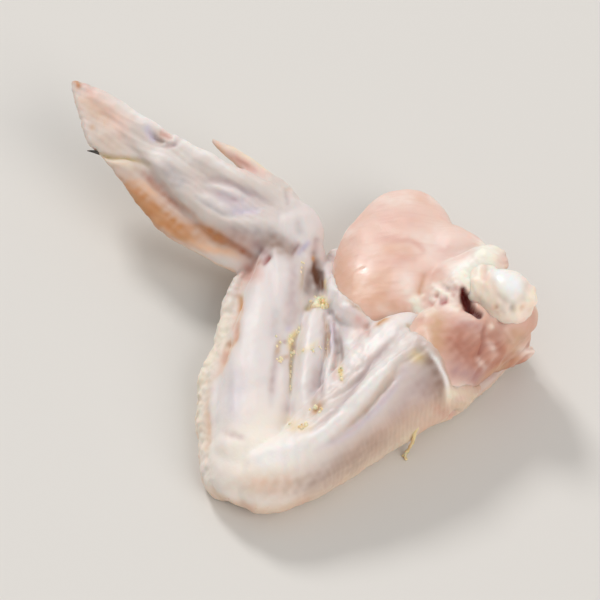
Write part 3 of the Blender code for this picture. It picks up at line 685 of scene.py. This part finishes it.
MIX_FACTOR, MIX_A, MIX_B = 0, 6, 7  # the inputs of a mix node that blends colours


def maths(tree, operation, first, second):
    return node(tree, "Math", {0: first, 1: second}, operation=operation).outputs[0]


def group(name, inputs, outputs):
    """A node group with number inputs and outputs: its tree, what it is given and what it gives."""
    tree = bpy.data.node_groups.new(name, "ShaderNodeTree")
    for label, value in inputs.items():
        socket = tree.interface.new_socket(label, in_out="INPUT", socket_type="NodeSocketFloat")
        socket.default_value = value
    for label in outputs:
        tree.interface.new_socket(label, in_out="OUTPUT", socket_type="NodeSocketFloat")
    return tree, tree.nodes.new("NodeGroupInput").outputs, tree.nodes.new("NodeGroupOutput").inputs


# Mottling: cloudy patches and fine specks, from 0 to 1, that keep any patch from being one colour.
mottling, given, gives = group("mottling", {"Scale": 200.0, "Contrast": 2.0}, ["Patches", "Specks"])
place = node(mottling, "TexCoord").outputs["Object"]
for label, finer in (("Patches", 1.0), ("Specks", 6.0)):
    scale = maths(mottling, "MULTIPLY", given["Scale"], finer)
    noise = node(mottling, "TexNoise", {"Vector": place, "Scale": scale, "Detail": 3.0}).outputs[0]
    centred = maths(mottling, "MULTIPLY", maths(mottling, "SUBTRACT", noise, 0.5), given["Contrast"])
    level = node(mottling, "Math", {0: centred, 1: 0.5}, operation="ADD", use_clamp=True).outputs[0]
    mottling.links.new(level, gives[label])

# Wet grain: the fine height of a moist surface, from slack micro-wrinkles and open pores.
wet_grain, given, gives = group(
    "wet_grain", {"Wrinkle Scale": 900.0, "Pore Scale": 420.0, "Pores": 0.0}, ["Height"]
)
place = node(wet_grain, "TexCoord").outputs["Object"]
wrinkle = node(wet_grain, "TexNoise", {
    "Vector": place, "Scale": given["Wrinkle Scale"], "Detail": 4.0, "Distortion": 0.6}).outputs[0]
pit = node(wet_grain, "TexVoronoi", {"Vector": place, "Scale": given["Pore Scale"]},
           feature="SMOOTH_F1").outputs["Distance"]
pit = node(wet_grain, "MapRange", {"Value": pit, "From Max": 0.4, "To Min": -1.0, "To Max": 0.0}).outputs[0]
wet_grain.links.new(
    maths(wet_grain, "ADD", wrinkle, maths(wet_grain, "MULTIPLY", pit, given["Pores"])), gives["Height"]
)


def flesh(name, patch, flush, dry, wet, scatter, grain, fine, pale=(1, 1, 1), pores=0.0):
    """A moist material: the painted tint, flushed and paled in patches and specks, over light that
    soaks in; a gloss between the dry and the wet roughness; and a fine grain that wet fills up."""
    material = bpy.data.materials.new(name)
    material.use_nodes = True
    tree = material.node_tree
    mottle = node(tree, "Group", {"Scale": patch, "Contrast": 3.0}, node_tree=mottling)
    colour = node(tree, "Attribute", attribute_name="tint").outputs["Color"]
    for mask, shade, strength in (("Patches", flush, 0.5), ("Specks", pale, 0.35)):
        factor = maths(tree, "MULTIPLY", mottle.outputs[mask], strength)
        colour = node(tree, "Mix", {MIX_FACTOR: factor, MIX_A: colour, MIX_B: (*shade, 1)},
                      data_type="RGBA", blend_type="MULTIPLY").outputs[2]
    height = node(tree, "Group", {"Wrinkle Scale": fine, "Pores": pores}, node_tree=wet_grain)
    patchy = node(tree, "MapRange", {"Value": mottle.outputs["Patches"], "To Min": 0.7}).outputs[0]
    wetness = maths(tree, "MULTIPLY", node(tree, "Attribute", attribute_name="wet").outputs["Fac"], patchy)
    unfilled = node(tree, "MapRange", {"Value": wetness, "To Min": 1.0, "To Max": 0.1}).outputs[0]
    level = maths(tree, "MULTIPLY", height.outputs["Height"], unfilled)
    bump = node(tree, "Bump", {"Height": level, "Strength": 1.0, "Distance": grain * MM})
    gloss = node(tree, "MapRange", {"Value": wetness, "To Min": dry, "To Max": wet})
    shader = tree.nodes["Principled BSDF"]
    tree.links.new(colour, shader.inputs["Base Color"])
    tree.links.new(bump.outputs["Normal"], shader.inputs["Normal"])
    tree.links.new(gloss.outputs[0], shader.inputs["Roughness"])
    for key, value in (("IOR", 1.42), ("Subsurface Weight", 1.0), ("Subsurface Radius", (1.0, 0.62, 0.5)),
                       ("Subsurface Scale", scatter * MM)):
        shader.inputs[key].default_value = value
    return material


dress(skin, tint, skin_wet, flesh("raw_skin", patch=90, flush=(0.97, 0.94, 0.93), dry=0.52, wet=0.26,
                                  scatter=0.5, grain=0.07, fine=1100, pores=0.4))
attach(skin, "root")
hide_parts("wing")


# Fat. Small yellow granules, each a soft lump, sit in the seams between the muscles and melt
# together where they are thickest. They are stuck in the wet membrane, half sunk.
def land(obj, places):
    """The point of the surface, and its normal, that is seen at each drawn place."""
    points, normals = surface(obj)
    facing = normals @ TOWARDS_EYE > 0.2
    points, normals = points[facing], normals[facing]
    apart = np.linalg.norm(drawn(points)[None] - np.array(places, float)[:, None], axis=2)
    best = (points @ TOWARDS_EYE - 6 * apart).argmax(1)
    return points[best], normals[best]


# Each cluster: where it is drawn, its spread across and up, how many granules and how large.
FAT_CLUSTERS = [
    ((5.4, 9), (1.3, 0.8), 15, 1.05), ((-2.1, -1.5), (0.5, 0.5), 6, 0.6),
    ((-1.6, -5.2), (0.6, 0.3), 6, 0.6), ((-4.9, -7.4), (0.4, 0.3), 4, 0.55),
    ((-0.1, 1.3), (0.3, 0.6), 4, 0.5), ((11.9, -9.8), (0.3, 1.2), 8, 0.6), ((5.9, -19.9), (1, 0.6), 8, 0.6),
    ((1.6, -24.9), (2, 0.4), 9, 0.7), ((1.3, -4.2), (0.4, 0.2), 3, 0.45),
    ((4.8, -3.6), (0.7, 0.7), 5, 0.45), ((8, -2), (0.15, 1.6), 5, 0.4),
    ((-1.8, -11.5), (0.12, 3.2), 9, 0.4), ((0.4, 18), (0.2, 2), 4, 0.45),
    ((-5.4, -3.4), (0.3, 1.4), 4, 0.45),
]
rng = np.random.default_rng(12)
spots = np.vstack([rng.normal(middle, spread, (count, 2)) for middle, spread, count, _ in FAT_CLUSTERS])
sizes = np.concatenate([size * rng.uniform(0.6, 1.15, count) for _, _, count, size in FAT_CLUSTERS])
orders = [rng.permutation(3) for _ in sizes]
z, x, y = globe(8, 10)
lump = np.stack([x, y, z], -1)
LUMP_RADII = np.array([1, 1.25, 0.8])
SUNK = 0.35
granules = [
    place + size * (LUMP_RADII[order] * lump * (1 + 0.08 * np.sin(5 * lump + k)) - SUNK * way)
    for k, (place, way, size, order) in enumerate(zip(*land(skin, spots), sizes, orders))
]
fat = show("fat_granules", grid_mesh("fat_granules", granules))
soften = fat.modifiers.new("soft lumps", "SUBSURF")
soften.levels = soften.render_levels = 1
points = surface(fat)[0]
tint = lay(plain(points, (246, 232, 198)), ((238, 206, 150), ramp(waves(points, 5, 81), 0, 1.6) * 0.7),
           ((246, 236, 212), ramp(waves(points, 7, 82), 0.3, 1.6) * 0.7))
dress(fat, tint, 0.8, flesh("soft_fat", patch=300, flush=(0.98, 0.95, 0.9), dry=0.5, wet=0.3, scatter=0.15,
                            grain=0.03, fine=1800))
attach(fat, "root")


# Loose ends. A yellowish tendon that the knife missed hangs from the drumette's lower edge to the
# board and splits there, and the stub of a dark quill is left in the tip's notch.
tendon = show("loose_tendon", grid_mesh("loose_tendon", [
    strand([(33, -41, 11, 0.8), (32.4, -42.8, 8.6, 0.7), (32, -43.4, 5.8, 0.5), (31.1, -43.3, 3, 0.42),
            (30.3, -43.4, 1.2, 0.5), (29.9, -43.9, 0.6, 0.55), (29, -44.1, 0.5, 0.25)]),
    strand([(30.6, -43.3, 1.8, 0.3), (30.1, -43.7, 0.8, 0.42), (30.1, -44.6, 0.45, 0.4),
            (30.5, -45.5, 0.4, 0.22)]),
]))
push_out(tendon, 0.08 * waves(surface(tendon)[0], 1.6, 83))
points = surface(tendon)[0]
tint = lay(plain(points, (234, 216, 172)), ((212, 178, 124), ramp(waves(points, 4, 84), 0, 1.5) * 0.6))
dress(tendon, tint, 0.6, flesh("tendon", patch=400, flush=(0.95, 0.9, 0.8), dry=0.5, wet=0.3, scatter=0.3,
                               grain=0.03, fine=1800))
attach(tendon, "root")

NOTCH = (-59.2, 50.1)
root = land(skin, [NOTCH])[0][0]
quill = show("quill_stub", grid_mesh("quill_stub", [strand([
    (*(root + shift), radius) for *shift, radius in (
        (1.2, 0.2, -0.6, 0.5), (0, 0.1, 0.1, 0.5), (-1.4, 0.3, 0.3, 0.34), (-2.8, 0.6, 0.2, 0.12))
])]))
dress(quill, plain(surface(quill)[0], (74, 70, 66)), 0.3, flesh(
    "quill", patch=900, flush=(0.7, 0.66, 0.6), dry=0.55, wet=0.4, scatter=0.1, grain=0.02, fine=2500))
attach(quill, "root")


# The meat. The bare muscle at the shoulder is one smooth lobe under a clear wet film; beside it the
# drumette's own meat was cut across, so its bundles of fibre and the white walls between them show.
meat_form = [
    tube(drumette, [(0.16, -4, -2.5, 4, 4), (0.30, -5, -2.5, 7.4, 8.6), (0.50, -5.2, -2, 8.4, 10.8),
                    (0.62, -4.6, -1.9, 10.2, 11.8), (0.69, -4, -1.9, 11.6, 12.6),
                    (0.76, -3.4, -1.8, 12, 12.4), (0.93, -4, -2.6, 10.5, 10.8),
                    (1.02, -5.6, -3.8, 8.6, 9.4), (1.09, -7.2, -5.2, 6.4, 7.6)],
         2.4, ends=0.1),
    tube(drumette, [(0.90, -8, -9.6, 5, 3.6), (1.01, -10, -11.4, 4, 3), (1.085, -12.2, -12.6, 2, 1.8)]),
    # The membrane that spans from the lobe to the cut meat and the bone, and its knob behind it.
    tube(drumette, [(0.72, 12.5, -3.2, 6, 5), (0.777, 11.4, -1.2, 7.5, 5.6), (0.85, 10.8, 1.4, 8.4, 5.6),
                    (0.90, 10.6, 2.4, 8.6, 5.6), (0.96, 9.8, 3.6, 8, 5.8), (1.03, 8.6, 4.8, 7, 5.6),
                    (1.084, 8, 5.8, 6, 5.2), (1.13, 8.4, 5.2, 4.5, 4.2)], roll=-14),
    ball(drumette, (1.01, -5.4, 0.6), (9.8, 10.6, 6.6), -10, -12),
    ball(drumette, (0.86, 3, 3), (8, 6, 6), 20),
    ball(drumette, (0.936, 5.6, 5.5), (5.5, 5.5, 5.5)),
    ball(drumette, (1.1, 8, 5.6), (4.6, 5, 4.4)),
    ball(drumette, (1.06, 22, -2.4), (10, 16.5, 7.8), 5, -10),
    tube(lobe, [(-0.02, -1, 1.5, 6, 7), (0.18, -4.5, 1.6, 13.5, 9), (0.38, -9, 1.5, 20, 10),
                (0.55, -9, 1.1, 20.5, 10), (0.75, -6.5, 0.4, 17, 9.2), (0.95, -6.8, -0.9, 13.2, 8),
                (1.10, -6.8, -2.2, 9.2, 6.6), (1.18, -6.8, -3, 5.6, 5)], 2.3, roll=-6),
]
meat = grow("shoulder_meat", meat_form, 0.55, 24)
MEAT = {
    "lobe": (234, 202, 189), "pale": (245, 230, 222), "pink": (228, 190, 180), "rose": (216, 166, 152),
    "orange": (222, 178, 150), "tan": (212, 176, 140), "cut": (194, 138, 118), "raw": (170, 108, 92),
    "cream": (250, 242, 230), "white": (250, 246, 240), "amber": (202, 150, 108), "blood": (96, 16, 12),
    "red": (176, 92, 92), "mauve": (188, 150, 150),
}
# The meat's marks, and below them the bone's, are rows like the skin's.
MEAT_MARKS = [
    # The lobe: orange low on its left, pale at the far side, with a loop of darker grain.
    ("orange", 0.7, 4.5, 0, (10.5, 20), (12.5, 15), (19, 13)),
    ("orange", 0.5, 4, 0, (17, 10.5), (24, 9)),
    ("pink", 0.5, 4, 0, (24, 33), (29, 32)),
    ("pale", 0.6, 3, 0, (22, 37.5), (28, 38.5), (33, 37)),
    ("pale", 0.6, 3, 0, (33, 27.6), (37, 25.5), (36, 22)),
    ("pale", 0.5, 5, 0, (40, 28), (46, 26)),
    ("pink", 0.5, 4, 0, (40, 24), (46, 23)),
    ("rose", 0.5, 1.1, 0.05, (21, 27.4), (25, 27.3), (29.5, 27)),
    ("rose", 0.65, 0.9, -0.1, (21, 26.3), (26, 26.5), (31, 26.2), (33.6, 24.6), (34, 23.2), (32, 22)),
    ("rose", 0.45, 1.2, -0.05, (22, 22.2), (26, 22.4), (31.5, 21.4)),
    ("rose", 0.4, 1.2, -0.05, (20.5, 19.8), (25, 20.2), (31, 20.3)),
    ("orange", 0.4, 1.6, 0, (24, 23.9), (30, 23.8)),
    ("pale", 0.75, 2.2, 0.1, (29.4, 19), (29.8, 14), (29, 9)),
    ("pale", 0.4, 1.4, 0, (22, 7.8), (25, 6.4)),
    ("orange", 0.5, 1.6, 0, (26, 8), (29, 7.4)),
    ("amber", 0.8, 1.1, -0.3, (33.2, 12)),
    ("amber", 0.5, 1, -0.3, (33.6, 13.4), (34.4, 16.6)),
    ("rose", 0.45, 1.8, 0, (36.4, 17), (39.4, 17.6)),
    # The joint capsule: white and cream membrane round the bone, with small pink and red spots.
    ("white", 1.4, 2.2, 0.3, (41.6, 15.4), (44, 17.8), (47, 19.6), (49.6, 21.6), (51.6, 25.4)),
    ("cream", 1.4, 3, 0.1, (46.6, 16), (50, 17)),
    ("cream", 1.5, 3.4, 0.1, (51.8, 20.6), (53.2, 24.8)),
    ("pink", 0.5, 2, 0, (56.4, 21.6), (58, 24)),
    ("cream", 1.3, 1.6, 0.3, (31.9, 9.8), (33, 7)),
    ("cream", 0.8, 1.2, 0.5, (35.2, 5.9), (37, 6.6)),
    ("pale", 0.8, 2.4, 0, (34.6, 11.4), (40, 13.4), (42.4, 9.6), (37, 8.6)),
    ("cream", 0.9, 0.8, 0.6, (36.8, 13.8), (38.2, 12.7), (40.4, 11.6), (42.2, 10.6)),
    ("cream", 0.8, 1, 0.4, (41.4, 8.3), (43.4, 7.4)),
    ("rose", 0.7, 0.9, -0.4, (36.4, 8.9)),
    ("rose", 0.6, 0.7, -0.3, (37.8, 11.2)),
    ("rose", 0.6, 0.7, -0.3, (42.6, 11.4)),
    ("red", 0.95, 0.85, -0.5, (39.4, 9.6), (40.2, 9.7)),
    ("mauve", 0.35, 1, -0.3, (40.8, 13.2), (42.8, 13.4)),
    ("blood", 1.3, 0.8, -1.4, (45, 13), (45.4, 11.6)),
    ("blood", 1.8, 1.2, -2.4, (45.9, 10.8), (46.6, 9)),
    ("blood", 1.5, 0.9, -1.8, (47, 8.4), (49.6, 6.3)),
    # The cut: tan on its left, browner in the middle, with white walls and dark lines between.
    ("tan", 0.85, 2.9, 0, (37.6, 3.6), (38.4, -1.6)),
    ("rose", 0.5, 0.9, -0.2, (33, 4.4), (36.4, 4.2)),
    ("pale", 0.45, 0.8, 0.3, (35.4, 1.8), (35.8, -2)),
    ("pale", 0.7, 1.5, 0.3, (45.4, 5.2), (47.8, 4.8)),
    ("mauve", 0.6, 1.6, 0.2, (44.6, 3.2), (49, 3)),
    ("cut", 0.9, 4.4, 0, (43.4, 0), (45.6, -5)),
    ("raw", 0.25, 3.6, 0, (43.6, -3), (47, -3)),
    ("mauve", 0.75, 3, 0, (44, -9.4), (49, -11)),
    ("raw", 0.55, 0.8, -0.5, (52.4, 5.8), (50.8, 1.6), (50.4, -3.4), (48.6, -7)),
    ("raw", 0.6, 0.9, -0.4, (50, -4.4)),
    ("pale", 0.6, 1, 0.3, (52, -0.4), (53.2, -2.6), (54.6, -4.4)),
    ("pale", 0.5, 0.9, 0.2, (49.6, -6.2), (51.2, -8)),
    ("pale", 0.4, 0.7, 0.2, (57, 2.6), (59.2, -1)),
    ("pink", 0.5, 1.6, 0, (52, 5.2), (58, 3.6), (64, 4.6)),
    ("raw", 0.5, 0.7, -0.5, (55.2, 4.6), (56.6, 4.2)),
    ("cream", 0.7, 0.8, 0.4, (53, 3)),
    ("raw", 0.4, 1.6, -0.2, (54.6, 1.4), (55.2, -2.8)),
    ("tan", 0.5, 2.4, 0, (60, 1), (60, -3.4)),
    ("pale", 0.85, 1.7, 0, (62.4, -3.4), (64.6, -3.8)),
    ("pale", 0.7, 2, 0, (43.6, -14.2), (46.4, -14.4)),
    ("tan", 0.6, 1.2, 0, (48, -15), (54, -9.8), (60.6, -5.8)),
]
CAPSULE = [(31.5, 8), (36, 10), (40.5, 12), (45, 16), (49, 20), (52, 25)]
points, normals = surface(meat)
share, left, lift = drumette.read(points)
capsule = stroke(drawn(points), CAPSULE, 3.4) * seen_by_eye(normals)
cut = ramp(share, 0.74, 0.79) * ramp(left - 36 * (share - 0.9), 8, 4) * ramp(lift, 11, 5)
cut = np.clip(cut + ramp(share, 1.03, 1.1) * ramp(left, 5, 1), 0, 1) * (1 - capsule)
collar = ramp(np.linalg.norm(points - drumette.place(1.02, -5.2, 4.0), axis=1), 14, 10.5)
tint = lay(
    plain(points, MEAT["lobe"]),
    (MEAT["orange"], 0.5 * ramp(waves(points, 15, 41), 0.2, 1.6)),
    (MEAT["pale"], 0.5 * ramp(waves(points, 13, 42), 0.4, 1.8)),
    (MEAT["cut"], cut * (0.85 + 0.15 * waves(points, 5, 43))),
    (MEAT["white"], capsule * ramp(waves(points, 2.6, 46), 0.2, 1.2) * 0.7),
    (MEAT["pink"], capsule * ramp(waves(points, 3, 47), 0.4, 1.4) * 0.7),
    ((224, 190, 172), collar * 0.65),
    ((240, 218, 202), collar * ramp(share, 1.06, 1.11)),
    (MEAT["pale"], ramp(share, 0.9, 0.96) * ramp(lift, 4, 8) * (1 - capsule) * 0.8),
    ((236, 212, 196), ramp(share, 1.02, 1.08) * ramp(lift, -8, -11) * 0.9),
)
tint = carve(meat, tint, MEAT, MEAT_MARKS)

# Bundles of fibre run along the bone, so they show as grain on the cut; the capsule is ragged.
points = surface(meat)[0]
across = points @ np.array([*drumette.left, 0.3])
grain = (1 - collar) * wrinkles(across, 1.9, 1.4, 8, 44)
fibres = (1 - cut) * (1 - capsule) * waves(points, 1.5, 48, (9, 1, 1))
swell = cut * (0.14 * grain + 0.1 * waves(points, 3.2, 21)) + 0.02 * fibres
swell += capsule * (0.15 * (knobs(points, 2.4, 0.8, 45) - 0.3) + 0.12 * waves(points, 2.2, 24))
swell += (1 - cut) * (1 - capsule) * (0.16 * waves(points, 14, 25) + 0.05 * waves(points, 5, 26))
sparkle = stroke(drawn(points), [(17.3, 18.3)], 2.1)
push_out(meat, swell - 0.09 * sparkle)
tint = lay(tint, (MEAT["raw"], cut * ramp(grain, 0.5, -1) * 0.25),
           (MEAT["rose"], 0.14 * ramp(fibres, 0.2, 1.6)))
dress(meat, tint, 0.15 + 0.85 * sparkle, flesh(
    "raw_meat", patch=70, flush=(0.98, 0.94, 0.92), pale=(1.0, 0.98, 0.97), dry=0.5, wet=0.14, scatter=0.7,
    grain=0.05, fine=1500))
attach(meat, "root")
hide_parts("meat")


# The bone. Its head is capped with wet white cartilage, rounder and smoother than anything else on
# the wing, with a lumpy cream collar where tendons were cut off it. The shaft runs on in the meat.
bone_form = [
    tube(drumette, [(0.10, -3, -1, 5.5, 5), (0.22, -3, -1, 3.6, 3.6), (0.55, -4, 0, 3.2, 3.2),
                    (0.82, -5, 0, 3.8, 3.8), (0.93, -5.5, 1.6, 4.4, 4.4), (1.01, -6, 4.4, 6, 6)]),
    ball(drumette, (1.025, -5.2, 6.6), (7.7, 9.2, 7.7), -10, -12),
    ball(drumette, (0.995, 0.6, 6.9), (5.6, 5.6, 4.8), 20),
    ball(drumette, (1.02, 4.2, 6.6), (5, 5, 4.4)),
    # The collar: a ring of lumps below and beside the cap.
    drawn_strand([(52.4, 9.6, 30, 0.8), (54.2, 8.2, 30.4, 0.9), (56.2, 7.4, 30.8, 1.7), (58.2, 7.4, 30.8, 1),
                  (60, 7.6, 30.4, 1.7), (61.6, 8.4, 29.7, 1.1), (63.4, 9.9, 28.6, 1.8),
                  (64.3, 12.4, 27.4, 1.6), (63.8, 14.8, 26, 1)]),
]
bone = grow("bone_head", bone_form, 0.42, 14)
BONE = {
    "white": (252, 251, 249), "ivory": (255, 232, 216), "cream": (244, 232, 212), "pink": (230, 196, 184),
    "grey": (190, 178, 168), "amber": (206, 158, 112), "shade": (214, 206, 200), "blood": (96, 16, 12),
}
BONE_MARKS = [
    ("white", 1, 3.4, 0.3, (55, 17.6), (58.8, 14.2)),
    ("shade", 0.5, 1.1, -0.45, (52.4, 18), (52.8, 14.8), (54.6, 11.4), (57.6, 9.8), (60.4, 10.2),
     (62.3, 12.4), (62, 15.4), (60.4, 18.2)),
    ("ivory", 1, 3.2, 0, (49.6, 15.5), (52, 9.6)),
    ("pink", 0.5, 1, -0.4, (51.4, 20), (51.2, 16.4)),
    ("white", 0.9, 1, 0.4, (62.8, 16.2), (64.4, 16)),
    ("pink", 0.7, 1.5, 0, (60.6, 19.6), (62.6, 18), (64.6, 14.6)),
    # Painted shade below the cap: grey on the collar's first lump, and grey and amber dabs between its lumps.
    ("grey", 0.4, 1.2, 0.1, (55.8, 8.6), (56.4, 7)),
    ("cream", 0.7, 1.2, 0.1, (60, 8)),
    ("cream", 0.7, 1.6, 0.1, (63.4, 9.6), (64.4, 12.4)),
    ("grey", 0.6, 1, -0.7, (58.4, 8.2)),
    ("amber", 0.4, 0.9, -0.5, (61.4, 8.4)),
    ("amber", 0.5, 0.9, -0.5, (54, 8.2)),
    ("pink", 0.5, 1.8, 0, (62, 4.6), (65, 8)),
    ("blood", 1.3, 0.8, -1.2, (46.8, 9), (48.2, 7.6), (49.8, 6.3)),
]
points = surface(bone)[0]
tint = lay(plain(points, (252, 238, 226)), (BONE["pink"], 0.4 * ramp(waves(points, 7, 51), 0.3, 1.6)))
tint = carve(bone, tint, BONE, BONE_MARKS)
points = surface(bone)[0]
cap = stroke(drawn(points), [(54.6, 18), (58.8, 14)], 4.4)
swell = (1 - cap) * (0.16 * waves(points, 5, 31) + 0.04 * waves(points, 2.4, 32))
swell += 0.05 * waves(points, 7, 33)
push_out(bone, swell)
dress(bone, tint, 0.2 + 0.5 * cap, flesh("cartilage", patch=160, flush=(0.98, 0.97, 0.95), dry=0.42, wet=0.24,
                                         scatter=0.35, grain=0.04, fine=1300))
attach(bone, "root")
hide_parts("humerus")


# The stand: a plain pale floor, a soft box high behind the wing on its left, a weak broad fill in
# front, and a pale surround, brighter near the horizon. The camera looks down from the elbow's side.
FLOOR_REACH = 6000
corner = np.array([[-1, -1, 0], [1, -1, 0], [1, 1, 0], [-1, 1, 0]]) * FLOOR_REACH
floor_mesh = bpy.data.meshes.new("floor")
floor_mesh.from_pydata(corner * MM, [], [(0, 1, 2, 3)])
floor = show("floor", floor_mesh)
paper = bpy.data.materials.new("pale_floor")
paper.use_nodes = True
for key, value in (("Base Color", (0.72, 0.70, 0.67, 1)), ("Roughness", 0.7)):
    paper.node_tree.nodes["Principled BSDF"].inputs[key].default_value = value
floor_mesh.materials.append(paper)


def aim(obj, place, target):
    """Puts a light or the camera at a place and turns its -Z axis to the target."""
    obj.location = place
    way = np.array(target) - np.array(place)
    level = math.hypot(way[0], way[1])
    obj.rotation_euler = (math.atan2(level, -way[2]), 0, math.atan2(-way[0], way[1]))


def soft_box(name, way, width, strength, colour):
    """A far lamp, as wide as so many degrees of the sky, that shines from the way given."""
    light = bpy.data.lights.new(name, "SUN")
    light.angle = math.radians(width)
    light.energy = strength
    light.color = colour
    aim(show(name, light), way, (0, 0, 0))


soft_box("key_light", (-0.36, 0.72, 0.60), 13.0, 1.5, (1.0, 0.985, 0.97))
soft_box("fill_light", (0.9, -1.0, 1.0), 40.0, 1.15, (1.0, 0.97, 0.93))
surround = bpy.data.worlds.new("surround")
surround.use_nodes = True
sky = surround.node_tree
height = node(sky, "SeparateXYZ", {0: node(sky, "TexCoord").outputs["Generated"]}).outputs["Z"]
high = node(sky, "MapRange", {"Value": height, "From Max": 0.25}).outputs[0]
shade = node(sky, "Mix", {MIX_FACTOR: high, MIX_A: (0.73, 0.71, 0.66, 1), MIX_B: (0.5, 0.495, 0.49, 1)},
             data_type="RGBA")
sky.links.new(shade.outputs[2], sky.nodes["Background"].inputs["Color"])
bpy.context.scene.world = surround
bpy.context.scene.view_settings.view_transform = "Standard"

lens = bpy.data.cameras.new("camera")
lens.sensor_width = 36.0
lens.lens = 300.0
camera = show("camera", lens)
aim(camera, (0.0224, -0.9197, 1.0591), (0.0, 0.002, 0.012))
bpy.context.scene.camera = camera
